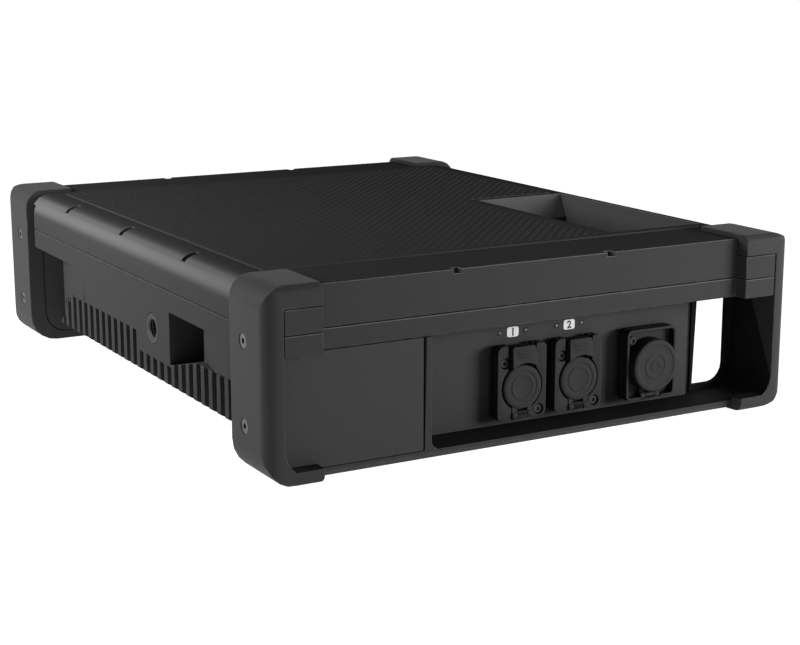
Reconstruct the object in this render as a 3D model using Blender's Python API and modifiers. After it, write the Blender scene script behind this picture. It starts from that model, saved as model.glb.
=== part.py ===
"""Rugged art-net node for stage lighting: a finned metal box between two bumper frames.

Metres, +Z up. The front faces -Y, the carrying handle is at +X, and the origin is under the
middle of the box, on the surface that it stands on.
"""

from math import cos, pi, radians, sin, tan

import bmesh
import bpy
from mathutils import Matrix, Vector

# Overall size, and the gap between pieces that sit on each other
WIDTH = 0.285
DEPTH = 0.356
HEIGHT = 0.088
GAP = 0.0003

# Bumper frames at the front and the rear
FRAME_DEPTH = 0.036
FRAME_WALL = 0.009
CAP_WIDTH = 0.0275
CAP_BAND = 0.010
FOOT_BAND = 0.007
RAIL_BAND = 0.0045
RAIL_CHAMFER = 0.003
FACE_RECESS = 0.0075
FRAME_TOP_RADIUS = 0.0095
FRAME_BOTTOM_RADIUS = 0.015
FRAME_INNER_RADIUS = 0.012
FRAME_CORNER_RADIUS = 0.007
FRAME_EDGE_RADIUS = 0.004
FRAME_LIP = 0.0025
FRAME_LIP_DEPTH = 0.004
FRAME_LIP_RADIUS = 0.009
FRAME_LIP_FOOT = 0.0020
FRAME_LIP_HEAD = 0.0036
MULLION_PLACE = 0.0817
MULLION_WIDTH = 0.0033
MULLION_FOOT_RADIUS = 0.004

# Cover and chassis
SIDE_INSET = 0.003
COVER_DROP = 0.002
COVER_EDGE_RADIUS = 0.011
COVER_WALL = 0.003
COVER_HEIGHT = 0.0195
RIM_HEIGHT = 0.0095
SIDE_BOTTOM = 0.0205
BILGE_RUN = 0.030
CHASSIS_FLOOR = 0.003
HEATSINK_THICKNESS = 0.0255
HEATSINK_FOOT = 0.041
HEATSINK_FOOT_RISE = 0.0125
SIDE_WALL = 0.003
POST_WALL = 0.013
GROOVE_WIDTH = 0.004
GROOVE_DROP = 0.008

# Cooling slots and pockets in the left side
SLOT_PITCH = 0.009
SLOT_WIDTH = 0.005
SLOT_TOP = 0.0396
SLOT_DEPTH = 0.011
SLOT_MARGIN = 0.004
POCKET_DROP = 0.0007
POCKET_SILL = 0.0386
POCKET_DEPTH = 0.0175
POCKET_STEPS = 5
FRONT_POCKET_PLACE = 0.046
REAR_POCKET_PLACE = 0.230

# Threaded clamp point in the left side
CLAMP_PLACE = 0.135
CLAMP_HEIGHT = 0.0444
BOSS_WIDTH = 0.043
BOSS_BOTTOM = 0.030
INSERT_RADIUS = 0.0075
INSERT_LENGTH = 0.016
THREAD_RADIUS = 0.0047
THREAD_LENGTH = 0.014

# Carrying handle: a bar along the right side, with a scoop in the top beside it
GRIP_CLEARANCE = 0.035
HANDLE_FOOT = 0.018
HANDLE_TOP = 0.012
SCOOP_PLACE = 0.0515
SCOOP_LENGTH = 0.1245
SCOOP_SLOPE_RUN = 0.033
SCOOP_LIP_RUN = 0.005
SCOOP_LIP_DROP = 0.0018
SCOOP_RAMP = 0.010
SCOOP_RAMP_DROP = 0.012

# Grip pad on the top, and the small notches along the cover's edges
PAD_MARGIN = 0.0205
PAD_END = 0.0435
PAD_THICKNESS = 0.0012
PAD_RECESS = 0.0008
PAD_SCOOP_MARGIN = 0.0025
PAD_CORNER_RADIUS = 0.003
NOTCH_WIDTH = 0.004
NOTCH_DEPTH = 0.0020
NOTCH_START = 90
NOTCH_END = 135
SIDE_NOTCH_FIRST = 0.102
SIDE_NOTCH_PITCH = 0.0825
SIDE_NOTCH_COUNT = 3
END_NOTCH_PLACES = (0.098, 0.1815)
END_NOTCH_REACH = 0.004

# Screws through the frames' sides
FRAME_SCREW_PLACE = 0.0225
FRAME_SCREW_LOW = 0.0238
FRAME_SCREW_RISE = 0.0045
FRAME_SCREW_HEAD_RADIUS = 0.0034
FRAME_SCREW_RADIUS = 0.0016
FRAME_SCREW_LENGTH = 0.016
FRAME_SCREW_SINK = 0.0002
HEX_RADIUS = 0.0014
HEX_DEPTH = 0.0014

# Panels in the frames' windows
FASCIA_THICKNESS = 0.002
FASCIA_SLIT = 0.0012
PANEL_RECESS = 0.026
PANEL_THICKNESS = 0.002
PANEL_CHAMFER = 0.0065
PANEL_RETURN = 0.010

# Sockets of the common panel size, with hinged sealing lids
PORT_HEIGHT = 0.0244
FLANGE_WIDTH = 0.026
FLANGE_HEIGHT = 0.031
FLANGE_THICKNESS = 0.0024
FLANGE_RADIUS = 0.002
BARREL_RADIUS = 0.0116
BARREL_LENGTH = 0.019
COLLAR_RADIUS = 0.0102
WELL_RADIUS = 0.0093
WELL_DEPTH = 0.011
JACK_WIDTH = 0.0118
JACK_HEIGHT = 0.0084
JACK_DEPTH = 0.007
CONTACT_RADIUS = 0.0009
CONTACT_CIRCLE = 0.0048
CONTACT_COUNT = 5
CONTACT_DEPTH = 0.006
CONTACT_FACE = 0.0022
LID_FRAME_WIDTH = 0.027
LID_FRAME_TOP = 0.0201
LID_FRAME_BOTTOM = 0.0154
LID_FRAME_THICKNESS = 0.003
LID_FRAME_RADIUS = 0.0025
LID_RADIUS = 0.010
LID_FACE_RADIUS = 0.0086
LID_THICKNESS = 0.0033
LID_EDGE = 0.0023
LID_LEG_TOP = 0.006
PLUG_RADIUS = 0.0087
PLUG_LENGTH = 0.0021
PORT_SCREW_X = 0.0095
PORT_SCREW_Z = 0.012
SCREW_HEAD_RADIUS = 0.0025
SCREW_HEAD_HEIGHT = 0.0014
SCREW_RADIUS = 0.0014
SCREW_LENGTH = 0.0095
SCREW_HEX_RADIUS = 0.0011

# Hinge under each lid
HINGE_DROP = 0.0134
HINGE_OUT = 0.002
KNUCKLE_RADIUS = 0.0018
KNUCKLE_SIDES = 10
PIN_RADIUS = 0.0007
LUG_HALF_WIDTH = 0.0026
LUG_HALF_HEIGHT = 0.0016
LEG_WIDTH = 0.0027
LEG_THICKNESS = 0.0022

# Sprung latch over each network and data socket
LATCH_WIDTH = 0.013
LATCH_BOTTOM = 0.0108
LATCH_TOP = 0.0198
LATCH_OUT = 0.0060
LATCH_IN = 0.0026
LATCH_RADIUS = 0.0015
NOTCH_FLOOR = 0.0068

# Mains inlet
INLET_PLACE = 0.0715
INLET_HEIGHT = 0.0265
INLET_FRAME_WIDTH = 0.0295
INLET_FRAME_TOP = 0.0180
INLET_FRAME_BOTTOM = 0.0172
INLET_COLLAR_RADIUS = 0.011
INLET_COLLAR_OUT = 0.0059
INLET_WELL_RADIUS = 0.0094
INLET_CORE_RADIUS = 0.0062
INLET_WELL_DEPTH = 0.014
INLET_CORE_SINK = 0.002
INLET_LID_RADIUS = 0.013
INLET_LID_WALL = 0.0007
INLET_LID_FACE = 0.0022
INLET_LID_CROWN = ((0.0115, 0.0), (0.0126, 0.0004), (0.013, 0.0012))
INLET_HINGE_DROP = 0.0155
INLET_HINGE_OUT = 0.0025

# Where the sockets are along the front and the rear, from the handle's side
NETWORK_PLACES = (0.1455, 0.1135)
DATA_PLACES = (0.1455, 0.0945)

# Status lights beside each network port's number
LIGHT_DROP = 0.008
LIGHT_OFFSET = 0.0072
LIGHT_RADIUS = 0.001
LIGHT_LENGTH = 0.007
LIGHT_BAR = 0.003

# Rear controls: a display behind a window, and a jog wheel that turns and is pushed
WINDOW_WIDTH = 0.040
WINDOW_HEIGHT = 0.018
WINDOW_THICKNESS = 0.0014
WINDOW_RADIUS = 0.001
WINDOW_PLACE = 0.050
WINDOW_DROP = 0.0145
MODULE_MARGIN = 0.002
MODULE_THICKNESS = 0.004
JOG_PLACE = 0.050
JOG_HEIGHT = 0.016
JOG_RADIUS = 0.008
JOG_FACE_RADIUS = 0.0068
JOG_EDGE = 0.001
JOG_OUT = 0.0062
JOG_CLEARANCE = 0.0012
JOG_BORE_DEPTH = 0.004
SHAFT_RADIUS = 0.003
SHAFT_IN = 0.0060
ENCODER_SIZE = 0.013
ENCODER_DEPTH = 0.008
PUSH_TRAVEL = 0.0006

# Electronics on the chassis floor
BOARD_SUPPLY_CLEARANCE = 0.007
BOARD_WALL_CLEARANCE = 0.009
BOARD_FRONT_PLACE = 0.062
BOARD_REAR_PLACE = 0.064
BOARD_THICKNESS = 0.0016
STANDOFF_HEIGHT = 0.0065
STANDOFF_RADIUS = 0.004
STANDOFF_INSET = 0.006
BOARD_SCREW_LENGTH = 0.005
CHIP_SIZE = 0.034
CHIP_HEIGHT = 0.012
TRANSFORMER_SIZE = 0.016
TRANSFORMER_PLACE = 0.020
SUPPLY_LOW_X = 0.046
SUPPLY_WIDTH = 0.055
SUPPLY_PLACE = 0.100
SUPPLY_LENGTH = 0.150
SUPPLY_HEIGHT = 0.036

# How far a cutter runs past the face it cuts, and how finely arcs are drawn
OVER = 0.002
ARC_STEPS = 5
ROUND_SIDES = 16

HALF_WIDTH = WIDTH / 2
HALF_DEPTH = DEPTH / 2
COVER_TOP = HEIGHT - COVER_DROP
PARTING_HEIGHT = COVER_TOP - COVER_HEIGHT
RIM_BOTTOM = PARTING_HEIGHT - RIM_HEIGHT
FRAME_SCREW_HEIGHTS = (FRAME_SCREW_LOW, RIM_BOTTOM + FRAME_SCREW_RISE)
LIGHT_HEIGHT = RIM_BOTTOM - LIGHT_DROP
CHASSIS_BOTTOM = RAIL_BAND + GAP
BODY_HALF_WIDTH = HALF_WIDTH - SIDE_INSET
BODY_HALF_DEPTH = HALF_DEPTH - FRAME_DEPTH - GAP
BODY_RIGHT = HALF_WIDTH - GRIP_CLEARANCE
END_RIGHT = BODY_RIGHT - PANEL_THICKNESS - GAP
NECK_LEFT = FRAME_WALL + GAP - HALF_WIDTH
BETWEEN_CAPS = HALF_WIDTH - CAP_WIDTH - GAP
WINDOW_LEFT = MULLION_PLACE + MULLION_WIDTH
FRONT, REAR = -1, 1


def from_left(distance):
    """The x that lies this far in from the frames' left face."""
    return distance - HALF_WIDTH


def from_right(distance):
    """The x that lies this far in from the frames' right face."""
    return HALF_WIDTH - distance


def from_face(face, distance):
    """The y that lies this far in from the front face or the rear face."""
    return face * (HALF_DEPTH - distance)


def clear_scene():
    for old in list(bpy.data.objects):
        bpy.data.objects.remove(old)


def new_collection(name):
    collection = bpy.data.collections.new(name)
    bpy.context.scene.collection.children.link(collection)
    return collection


def new_material(name, colour, roughness, metallic=0.0):
    made = bpy.data.materials.new(name)
    made.use_nodes = True
    made.diffuse_color = (*colour, 1.0)
    shader = made.node_tree.nodes["Principled BSDF"]
    shader.inputs["Base Color"].default_value = (*colour, 1.0)
    shader.inputs["Roughness"].default_value = roughness
    shader.inputs["Metallic"].default_value = metallic
    return made


clear_scene()
PARTS = new_collection("art_net_node")
CUTTERS = new_collection("cutters")
BUMPER = new_material("bumper_black", (0.045, 0.045, 0.047), 0.55)
COATED = new_material("coated_black", (0.035, 0.035, 0.037), 0.5, 0.3)
PANEL_BLACK = new_material("panel_black", (0.032, 0.032, 0.034), 0.55, 0.2)
PAD_RUBBER = new_material("pad_rubber", (0.016, 0.016, 0.017), 0.8)
SEAL_RUBBER = new_material("seal_rubber", (0.02, 0.02, 0.021), 0.75)
SOCKET_PLASTIC = new_material("socket_plastic", (0.014, 0.014, 0.015), 0.45)
SCREW_STEEL = new_material("screw_steel", (0.07, 0.07, 0.072), 0.4, 0.9)
INSERT_STEEL = new_material("insert_steel", (0.16, 0.16, 0.165), 0.4, 1.0)
CLEAR = new_material("clear_plastic", (0.6, 0.62, 0.65), 0.15)
BOARD_GREEN = new_material("board_green", (0.01, 0.09, 0.035), 0.5)
SUPPLY_STEEL = new_material("supply_steel", (0.4, 0.4, 0.41), 0.35, 1.0)


def finish(mesh, name, collection, finish_material):
    made = bpy.data.objects.new(name, mesh)
    collection.objects.link(made)
    mesh.materials.clear()
    mesh.materials.append(finish_material)
    mesh.shade_smooth()
    mesh.set_sharp_from_angle(angle=radians(35))
    return made


def helper(made):
    """Marks an object as one that only shapes another."""
    made.hide_render = True
    made.display_type = "WIRE"
    for collection in list(made.users_collection):
        collection.objects.unlink(made)
    CUTTERS.objects.link(made)
    return made


def box(name, low, high, look=BUMPER, bevel=0.0, segments=2):
    """A box between two corners, whose edges are rounded if bevel is given."""
    shape = bmesh.new()
    bmesh.ops.create_cube(shape, size=1.0)
    low, high = Vector(map(min, low, high)), Vector(map(max, low, high))
    bmesh.ops.scale(shape, vec=high - low, verts=shape.verts)
    bmesh.ops.translate(shape, vec=(low + high) / 2, verts=shape.verts)
    if bevel:
        bmesh.ops.bevel(
            shape, geom=shape.edges[:], offset=bevel, segments=segments, profile=0.5, affect="EDGES"
        )
    mesh = bpy.data.meshes.new(name)
    shape.to_mesh(mesh)
    shape.free()
    return finish(mesh, name, PARTS, look)


AXES = {
    "x": Matrix(((0, 0, 1), (1, 0, 0), (0, 1, 0))).to_4x4(),
    "y": Matrix(((1, 0, 0), (0, 0, -1), (0, 1, 0))).to_4x4(),
    "z": Matrix.Identity(4),
}


def to_mesh(source, name, look):
    """Turns a helper with modifiers, or a curve, into a plain welded mesh object."""
    graph = bpy.context.evaluated_depsgraph_get()
    mesh = bpy.data.meshes.new_from_object(source.evaluated_get(graph))
    mesh.transform(source.matrix_world)
    shape = bmesh.new()
    shape.from_mesh(mesh)
    bmesh.ops.remove_doubles(shape, verts=shape.verts, dist=0.000002)
    bmesh.ops.dissolve_limit(shape, angle_limit=radians(0.5), verts=shape.verts, edges=shape.edges)
    bmesh.ops.recalc_face_normals(shape, faces=shape.faces)
    shape.to_mesh(mesh)
    shape.free()
    bpy.data.objects.remove(source)
    return finish(mesh, name, PARTS, look)


def arc_points(centre, radius, start, end, steps=ARC_STEPS):
    angles = [start + (end - start) * step / steps for step in range(steps + 1)]
    return [(centre[0] + radius * cos(a), centre[1] + radius * sin(a)) for a in angles]


def rounded(corners, steps=ARC_STEPS):
    """An outline from its corners (u, v) or (u, v, radius), each radius drawn as an arc."""
    points = []
    for index, corner in enumerate(corners):
        here = Vector(corner[:2])
        if len(corner) == 2:
            points.append(tuple(here))
            continue
        before = (Vector(corners[index - 1][:2]) - here).normalized()
        after = (Vector(corners[(index + 1) % len(corners)][:2]) - here).normalized()
        half = before.angle(after) / 2
        reach = corner[2] / sin(half)
        centre = here + (before + after).normalized() * reach
        run = corner[2] * cos(half) / sin(half)
        first, last = here + before * run - centre, here + after * run - centre
        start = Vector((1, 0)).angle_signed(first)
        sweep = first.angle_signed(last)
        points += arc_points(centre, corner[2], -start, -start - sweep, steps)
    return points


def rectangle(low_u, low_v, high_u, high_v, radius=0.0):
    corners = ((low_u, low_v), (high_u, low_v), (high_u, high_v), (low_u, high_v))
    if radius:
        corners = [(u, v, radius) for u, v in corners]
    return rounded(corners, 3)


def circle(centre, radius, sides):
    return arc_points(centre, radius, 0, 2 * pi, sides)[:-1]


def slab(name, loops, axis, low, high, look=BUMPER):
    """A flat outline, with any holes, drawn square to an axis and extruded between two places."""
    curve = bpy.data.curves.new(name, "CURVE")
    curve.dimensions = "2D"
    curve.fill_mode = "BOTH"
    curve.extrude = abs(high - low) / 2
    for loop in loops:
        spline = curve.splines.new("POLY")
        spline.points.add(len(loop) - 1)
        spline.use_cyclic_u = True
        for point, place in zip(spline.points, loop):
            point.co = (*place, 0.0, 1.0)
    source = bpy.data.objects.new(name + "_outline", curve)
    PARTS.objects.link(source)
    shift = Vector([(low + high) / 2 if letter == axis else 0.0 for letter in "xyz"])
    source.matrix_world = Matrix.Translation(shift) @ AXES[axis]
    bpy.context.view_layer.update()
    return to_mesh(source, name, look)


def turned(name, profile, towards, place, sides, look=BUMPER):
    """A turned shape: (radius, height) points from its top down, standing at place towards an axis."""
    mesh = bpy.data.meshes.new(name)
    edges = [(index, index + 1) for index in range(len(profile) - 1)]
    mesh.from_pydata([(radius, 0, height) for radius, height in profile], edges, [])
    source = bpy.data.objects.new(name + "_profile", mesh)
    PARTS.objects.link(source)
    screw = source.modifiers.new("turn", "SCREW")
    screw.steps = screw.render_steps = sides
    screw.use_merge_vertices = True
    screw.merge_threshold = 0.000001
    turn = Vector(towards).to_track_quat("Z", "Y").to_matrix().to_4x4()
    source.matrix_world = Matrix.Translation(place) @ turn
    bpy.context.view_layer.update()
    return to_mesh(source, name, look)


def drum(name, radius, start, end, sides=16, look=BUMPER):
    """A plain cylinder between two points."""
    start, end = Vector(start), Vector(end)
    length = (end - start).length
    profile = ((0, length), (radius, length), (radius, 0), (0, 0))
    return turned(name, profile, end - start, start, sides, look)


def boolean(target, tool, operation):
    modifier = target.modifiers.new(tool.name, "BOOLEAN")
    modifier.operation = operation
    modifier.solver = "EXACT"
    modifier.object = helper(tool)


def join(target, *tools):
    for tool in tools:
        boolean(target, tool, "UNION")


def cut(target, *tools):
    for tool in tools:
        boolean(target, tool, "DIFFERENCE")


def trim(target, tool):
    boolean(target, tool, "INTERSECT")


def gather(name, pieces):
    """Puts separate pieces, which don't touch each other, into one cutter."""
    shape = bmesh.new()
    for piece in pieces:
        shape.from_mesh(piece.data)
        bpy.data.objects.remove(piece)
    mesh = bpy.data.meshes.new(name)
    shape.to_mesh(mesh)
    shape.free()
    return finish(mesh, name, PARTS, BUMPER)


def hang_on(target, pivot):
    """Moves an object's origin to its joint, through an empty that stands there."""
    joint = bpy.data.objects.new(target.name + "_joint", None)
    joint.empty_display_size = 0.01
    joint.location = pivot
    PARTS.objects.link(joint)
    bpy.context.view_layer.update()
    target.parent = joint
    target.matrix_parent_inverse = joint.matrix_world.inverted()


def frame_ring_outline():
    """The whole ring seen from the front: a tray section with a hooked top at each side."""
    inner, under_cap = HALF_WIDTH - FRAME_WALL, HEIGHT - CAP_BAND
    inside_cap = HALF_WIDTH - CAP_WIDTH
    return rounded(
        (
            (-inside_cap, HEIGHT),
            (-HALF_WIDTH, HEIGHT, FRAME_TOP_RADIUS),
            (-HALF_WIDTH, 0, FRAME_BOTTOM_RADIUS),
            (HALF_WIDTH, 0, FRAME_BOTTOM_RADIUS),
            (HALF_WIDTH, HEIGHT, FRAME_TOP_RADIUS),
            (inside_cap, HEIGHT),
            (inside_cap, under_cap),
            (inner, under_cap),
            (inner, RAIL_BAND, FRAME_INNER_RADIUS),
            (-inner, RAIL_BAND, FRAME_INNER_RADIUS),
            (-inner, under_cap),
            (-inside_cap, under_cap),
        )
    )


def corner_shave(centre, radius, quarter):
    """What lies outside one rounded edge, as an outline: quarter counts anticlockwise from +u, +v."""
    start = quarter * pi / 2
    arc = arc_points(centre, radius, start, start + pi / 2)
    far = radius + OVER
    first = (centre[0] + radius * cos(start) + OVER * cos(start), centre[1] + far * sin(start))
    last = (centre[0] + far * cos(start + pi / 2), centre[1] + far * sin(start + pi / 2))
    tip = (first[0] + last[0] - centre[0], first[1] + last[1] - centre[1])
    return [first, tip, last, *arc[::-1]]


def frame_screw_places(side):
    """Heights of the screws in a frame's side: the right one has no wall behind its lower screw."""
    return FRAME_SCREW_HEIGHTS if side < 0 else FRAME_SCREW_HEIGHTS[1:]


def countersink(name, face, side, height):
    outer = (side * HALF_WIDTH, from_face(face, FRAME_SCREW_PLACE), height)
    head, shank = FRAME_SCREW_HEAD_RADIUS + GAP, FRAME_SCREW_RADIUS + GAP
    depth = FRAME_WALL + OVER
    profile = ((0, OVER), (head, OVER), (head, -GAP), (shank, shank - head - GAP))
    profile += ((shank, -depth), (0, -depth))
    return turned(name, profile, (side, 0, 0), outer, 16)


def mullion(name, face):
    """The bar at the fascia's side of the window, with a rounded foot on the rail."""
    left, right, radius = from_left(MULLION_PLACE), from_left(WINDOW_LEFT), MULLION_FOOT_RADIUS
    outline = [(left, RAIL_BAND / 2), (left, RIM_BOTTOM - GAP), (right, RIM_BOTTOM - GAP)]
    outline += arc_points((right + radius, RAIL_BAND + radius), radius, pi, 1.5 * pi)
    outline += [(right + radius, RAIL_BAND / 2)]
    back = from_face(face, PANEL_RECESS - GAP)
    return slab(name, [outline], "y", back, from_face(face, FACE_RECESS - OVER))


def frame_lip(name, face):
    """A lip inside the back edge, round the hand's gap: its bar beside the body widens upwards."""
    left, right = BODY_RIGHT + 2 * GAP, HALF_WIDTH - FRAME_WALL
    top, sink = RIM_BOTTOM - GAP, FRAME_LIP / 2
    outline = rounded(
        (
            (left, RAIL_BAND - sink),
            (right + sink, RAIL_BAND - sink, FRAME_INNER_RADIUS + sink),
            (right + sink, top),
            (right - FRAME_LIP, top),
            (right - FRAME_LIP, RAIL_BAND + FRAME_LIP, FRAME_LIP_RADIUS),
            (left + FRAME_LIP_FOOT, RAIL_BAND + FRAME_LIP),
            (left + FRAME_LIP_HEAD, top),
            (left, top),
        )
    )
    near = from_face(face, FRAME_DEPTH - FRAME_LIP_DEPTH)
    return slab(f"{name}_lip", [outline], "y", near, from_face(face, FRAME_DEPTH - GAP / 2))


def frame_shaves(name, face):
    """Cutters that round a frame's outer upright edges, and its outer top and bottom edges."""
    radius, edge = FRAME_CORNER_RADIUS, FRAME_EDGE_RADIUS
    shaves = []
    for side in (-1, 1):
        centre = (side * (HALF_WIDTH - radius), from_face(face, radius))
        quarter = {(1, 1): 0, (-1, 1): 1, (-1, -1): 2, (1, -1): 3}[side, face]
        outline = corner_shave(centre, radius, quarter)
        shaves.append(slab(f"{name}_upright_{side}", [outline], "z", -OVER, HEIGHT + OVER))
    for up, height in ((1, HEIGHT - edge), (-1, edge)):
        quarter = {(1, 1): 0, (-1, 1): 1, (-1, -1): 2, (1, -1): 3}[face, up]
        outline = corner_shave((from_face(face, edge), height), edge, quarter)
        shaves.append(slab(f"{name}_edge_{up}", [outline], "x", -WIDTH, WIDTH))
    return shaves


def end_frame(name, face):
    deep, recess = from_face(face, FRAME_DEPTH), from_face(face, FACE_RECESS)
    past = from_face(face, -OVER)
    frame = slab(name, [frame_ring_outline()], "y", deep, past)
    inside_cap = HALF_WIDTH - CAP_WIDTH
    for side in (-1, 1):
        low = (side * (HALF_WIDTH - FRAME_WALL - OVER), from_face(face, FACE_RECESS - GAP), RAIL_BAND / 2)
        join(frame, box(f"{name}_foot_{side}", low, (side * (inside_cap - OVER), past, FOOT_BAND)))
    join(frame, mullion(f"{name}_mullion", face), frame_lip(name, face))
    beyond = from_face(face, -2 * OVER)
    cut(frame, box(f"{name}_recess", (-inside_cap, recess, -OVER), (inside_cap, beyond, HEIGHT + OVER)))
    low = (-WIDTH, from_face(face, 0.0), -OVER)
    cut(frame, box(f"{name}_front", low, (WIDTH, beyond, 2 * HEIGHT)))
    cut(frame, *frame_shaves(name, face))
    before = from_face(face, FACE_RECESS - OVER)
    chamfer = [(before, RAIL_CHAMFER + OVER), (before, -OVER)]
    chamfer += [(from_face(face, FACE_RECESS + RAIL_CHAMFER + OVER), -OVER)]
    rail_end = inside_cap - GAP
    cut(frame, slab(f"{name}_rail_chamfer", [chamfer], "x", -rail_end, rail_end))
    for side in (-1, 1):
        for height in frame_screw_places(side):
            cut(frame, countersink(f"{name}_screw_hole_{side}_{height * 1000:.0f}", face, side, height))
    return frame


def frame_screw(name, face, side, height):
    outer = (side * (HALF_WIDTH - FRAME_SCREW_SINK), from_face(face, FRAME_SCREW_PLACE), height)
    head, shank = FRAME_SCREW_HEAD_RADIUS, FRAME_SCREW_RADIUS
    profile = ((0, 0), (head, 0), (shank, shank - head))
    profile += ((shank, -FRAME_SCREW_LENGTH), (0, -FRAME_SCREW_LENGTH))
    screw = turned(name, profile, (side, 0, 0), outer, 12, SCREW_STEEL)
    inward = (outer[0] - side * HEX_DEPTH, *outer[1:])
    outward = (outer[0] + side * OVER, *outer[1:])
    cut(screw, drum(name + "_hex", HEX_RADIUS, inward, outward, 6))


def scoop_outline(margin=0.0):
    """Section of the handle's scoop, seen from the front; a margin draws its skin's far side."""
    top, bottom = COVER_TOP + OVER, RIM_BOTTOM - margin / 2
    slope_top = BODY_RIGHT - SCOOP_SLOPE_RUN - margin
    return [
        (slope_top - SCOOP_LIP_RUN, top),
        (slope_top - SCOOP_LIP_RUN, COVER_TOP + OVER / 2),
        (slope_top, COVER_TOP - SCOOP_LIP_DROP),
        (BODY_RIGHT - margin, bottom),
        (BODY_RIGHT - margin + 2 * OVER, bottom - OVER),
        (BODY_HALF_WIDTH - HANDLE_FOOT + margin, bottom - OVER),
        (BODY_HALF_WIDTH - HANDLE_FOOT + margin, RIM_BOTTOM),
        (BODY_HALF_WIDTH - HANDLE_TOP + margin, COVER_TOP),
        (BODY_HALF_WIDTH - HANDLE_TOP + margin, top),
    ]


def scoop(name, margin=0.0):
    """The scoop's space: the section run along the handle, its rear end cut as a ramp."""
    start = from_face(FRONT, SCOOP_PLACE - margin)
    end = from_face(FRONT, SCOOP_PLACE + SCOOP_LENGTH + margin)
    space = slab(name, [scoop_outline(margin)], "y", start, end)
    ramp = [
        (end - SCOOP_RAMP, COVER_TOP - SCOOP_RAMP_DROP),
        (end + SCOOP_RAMP, COVER_TOP + SCOOP_RAMP_DROP),
        (start - OVER, COVER_TOP + SCOOP_RAMP_DROP),
        (start - OVER, RIM_BOTTOM - 2 * OVER),
        (end - SCOOP_RAMP, RIM_BOTTOM - 2 * OVER),
    ]
    trim(space, slab(name + "_ramp", [ramp], "x", -WIDTH, WIDTH))
    return space


def rim_ends(name, low, high, corner_high):
    """The necks that run into the end frames, and the blocks that fill the frames' corners."""
    pieces = []
    for face in (FRONT, REAR):
        root = from_face(face, FRAME_DEPTH + OVER)
        tip = (BETWEEN_CAPS, from_face(face, FACE_RECESS - OVER), high)
        pieces.append(box(f"{name}_neck_{face}", (-BETWEEN_CAPS, root, low), tip))
        for side in (-1, 1):
            inner, outer = side * (BETWEEN_CAPS - OVER), side * (HALF_WIDTH - FRAME_WALL - GAP)
            tip = (outer, from_face(face, GAP), corner_high)
            pieces.append(box(f"{name}_block_{face}_{side}", (inner, root, low), tip))
    return pieces


def end_faces(name, low, high):
    """Cutters that set the necks back between the blocks, which end level with the frames' caps."""
    x, cutters = HALF_WIDTH - CAP_WIDTH, []
    for face in (FRONT, REAR):
        near = (-x, from_face(face, FACE_RECESS), low - OVER)
        cutters.append(box(f"{name}_end_{face}", near, (x, from_face(face, -OVER), high + OVER)))
    return cutters


def side_grooves(name, low, high):
    """Cutters for the shadow grooves between the sides and the end frames."""
    grooves = []
    for face in (FRONT, REAR):
        near = from_face(face, FRAME_DEPTH - OVER)
        far = from_face(face, FRAME_DEPTH + GAP + GROOVE_WIDTH)
        for side in (-1, 1):
            start = (side * (HALF_WIDTH - FRAME_WALL - GAP), near, low)
            grooves.append(box(f"{name}_groove_{face}_{side}", start, (side * WIDTH, far, high)))
    return gather(name + "_grooves", grooves)


def cover_hollow(low):
    """The room under the cover, which leaves out the corner that the scoop takes."""
    x, y = BODY_HALF_WIDTH - COVER_WALL, BODY_HALF_DEPTH - GROOVE_WIDTH - COVER_WALL
    ceiling, radius = COVER_TOP - COVER_WALL, COVER_EDGE_RADIUS - COVER_WALL
    scoop_left = BODY_RIGHT - SCOOP_SLOPE_RUN - SCOOP_LIP_RUN - COVER_WALL
    behind_scoop = from_face(FRONT, SCOOP_PLACE + SCOOP_LENGTH + COVER_WALL)
    section = ((-x, low - OVER), (scoop_left, low - OVER), (scoop_left, ceiling), (-x, ceiling, radius))
    hollow = slab("cover_hollow", [rounded(section, 4)], "y", -y, y)
    start, bottom = scoop_left - OVER, low - 2 * OVER
    section = ((start, bottom), (x, bottom), (x, ceiling - GAP, radius), (start, ceiling - GAP))
    join(hollow, slab("cover_hollow_right", [rounded(section, 4)], "y", behind_scoop, y - GAP))
    x = BETWEEN_CAPS - COVER_WALL
    for face in (FRONT, REAR):
        tip = (x, from_face(face, FACE_RECESS + COVER_WALL), ceiling - 2 * GAP)
        join(hollow, box(f"cover_neck_hollow_{face}", (-x, face * (y - OVER), low - 3 * OVER), tip))
    return hollow


def top_cover():
    low, radius = PARTING_HEIGHT + GAP / 2, COVER_EDGE_RADIUS
    x = BODY_HALF_WIDTH
    section = rounded(((-x, low), (x, low), (x, COVER_TOP, radius), (-x, COVER_TOP, radius)))
    cover = slab("top_cover", [section], "y", -BODY_HALF_DEPTH, BODY_HALF_DEPTH, COATED)
    join(cover, *rim_ends("cover", low, COVER_TOP, HEIGHT - CAP_BAND - GAP))
    grooves = side_grooves("cover", low - OVER, HEIGHT - GROOVE_DROP)
    cut(cover, *end_faces("cover", low, COVER_TOP))
    cut(cover, cover_hollow(low), scoop("cover_scoop"), grooves)
    pad_floor = COVER_TOP - PAD_RECESS
    cut(cover, slab("pad_recess", [pad_outline(GAP)], "z", pad_floor, COVER_TOP + OVER))
    cut(cover, edge_notches())
    return cover


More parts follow.
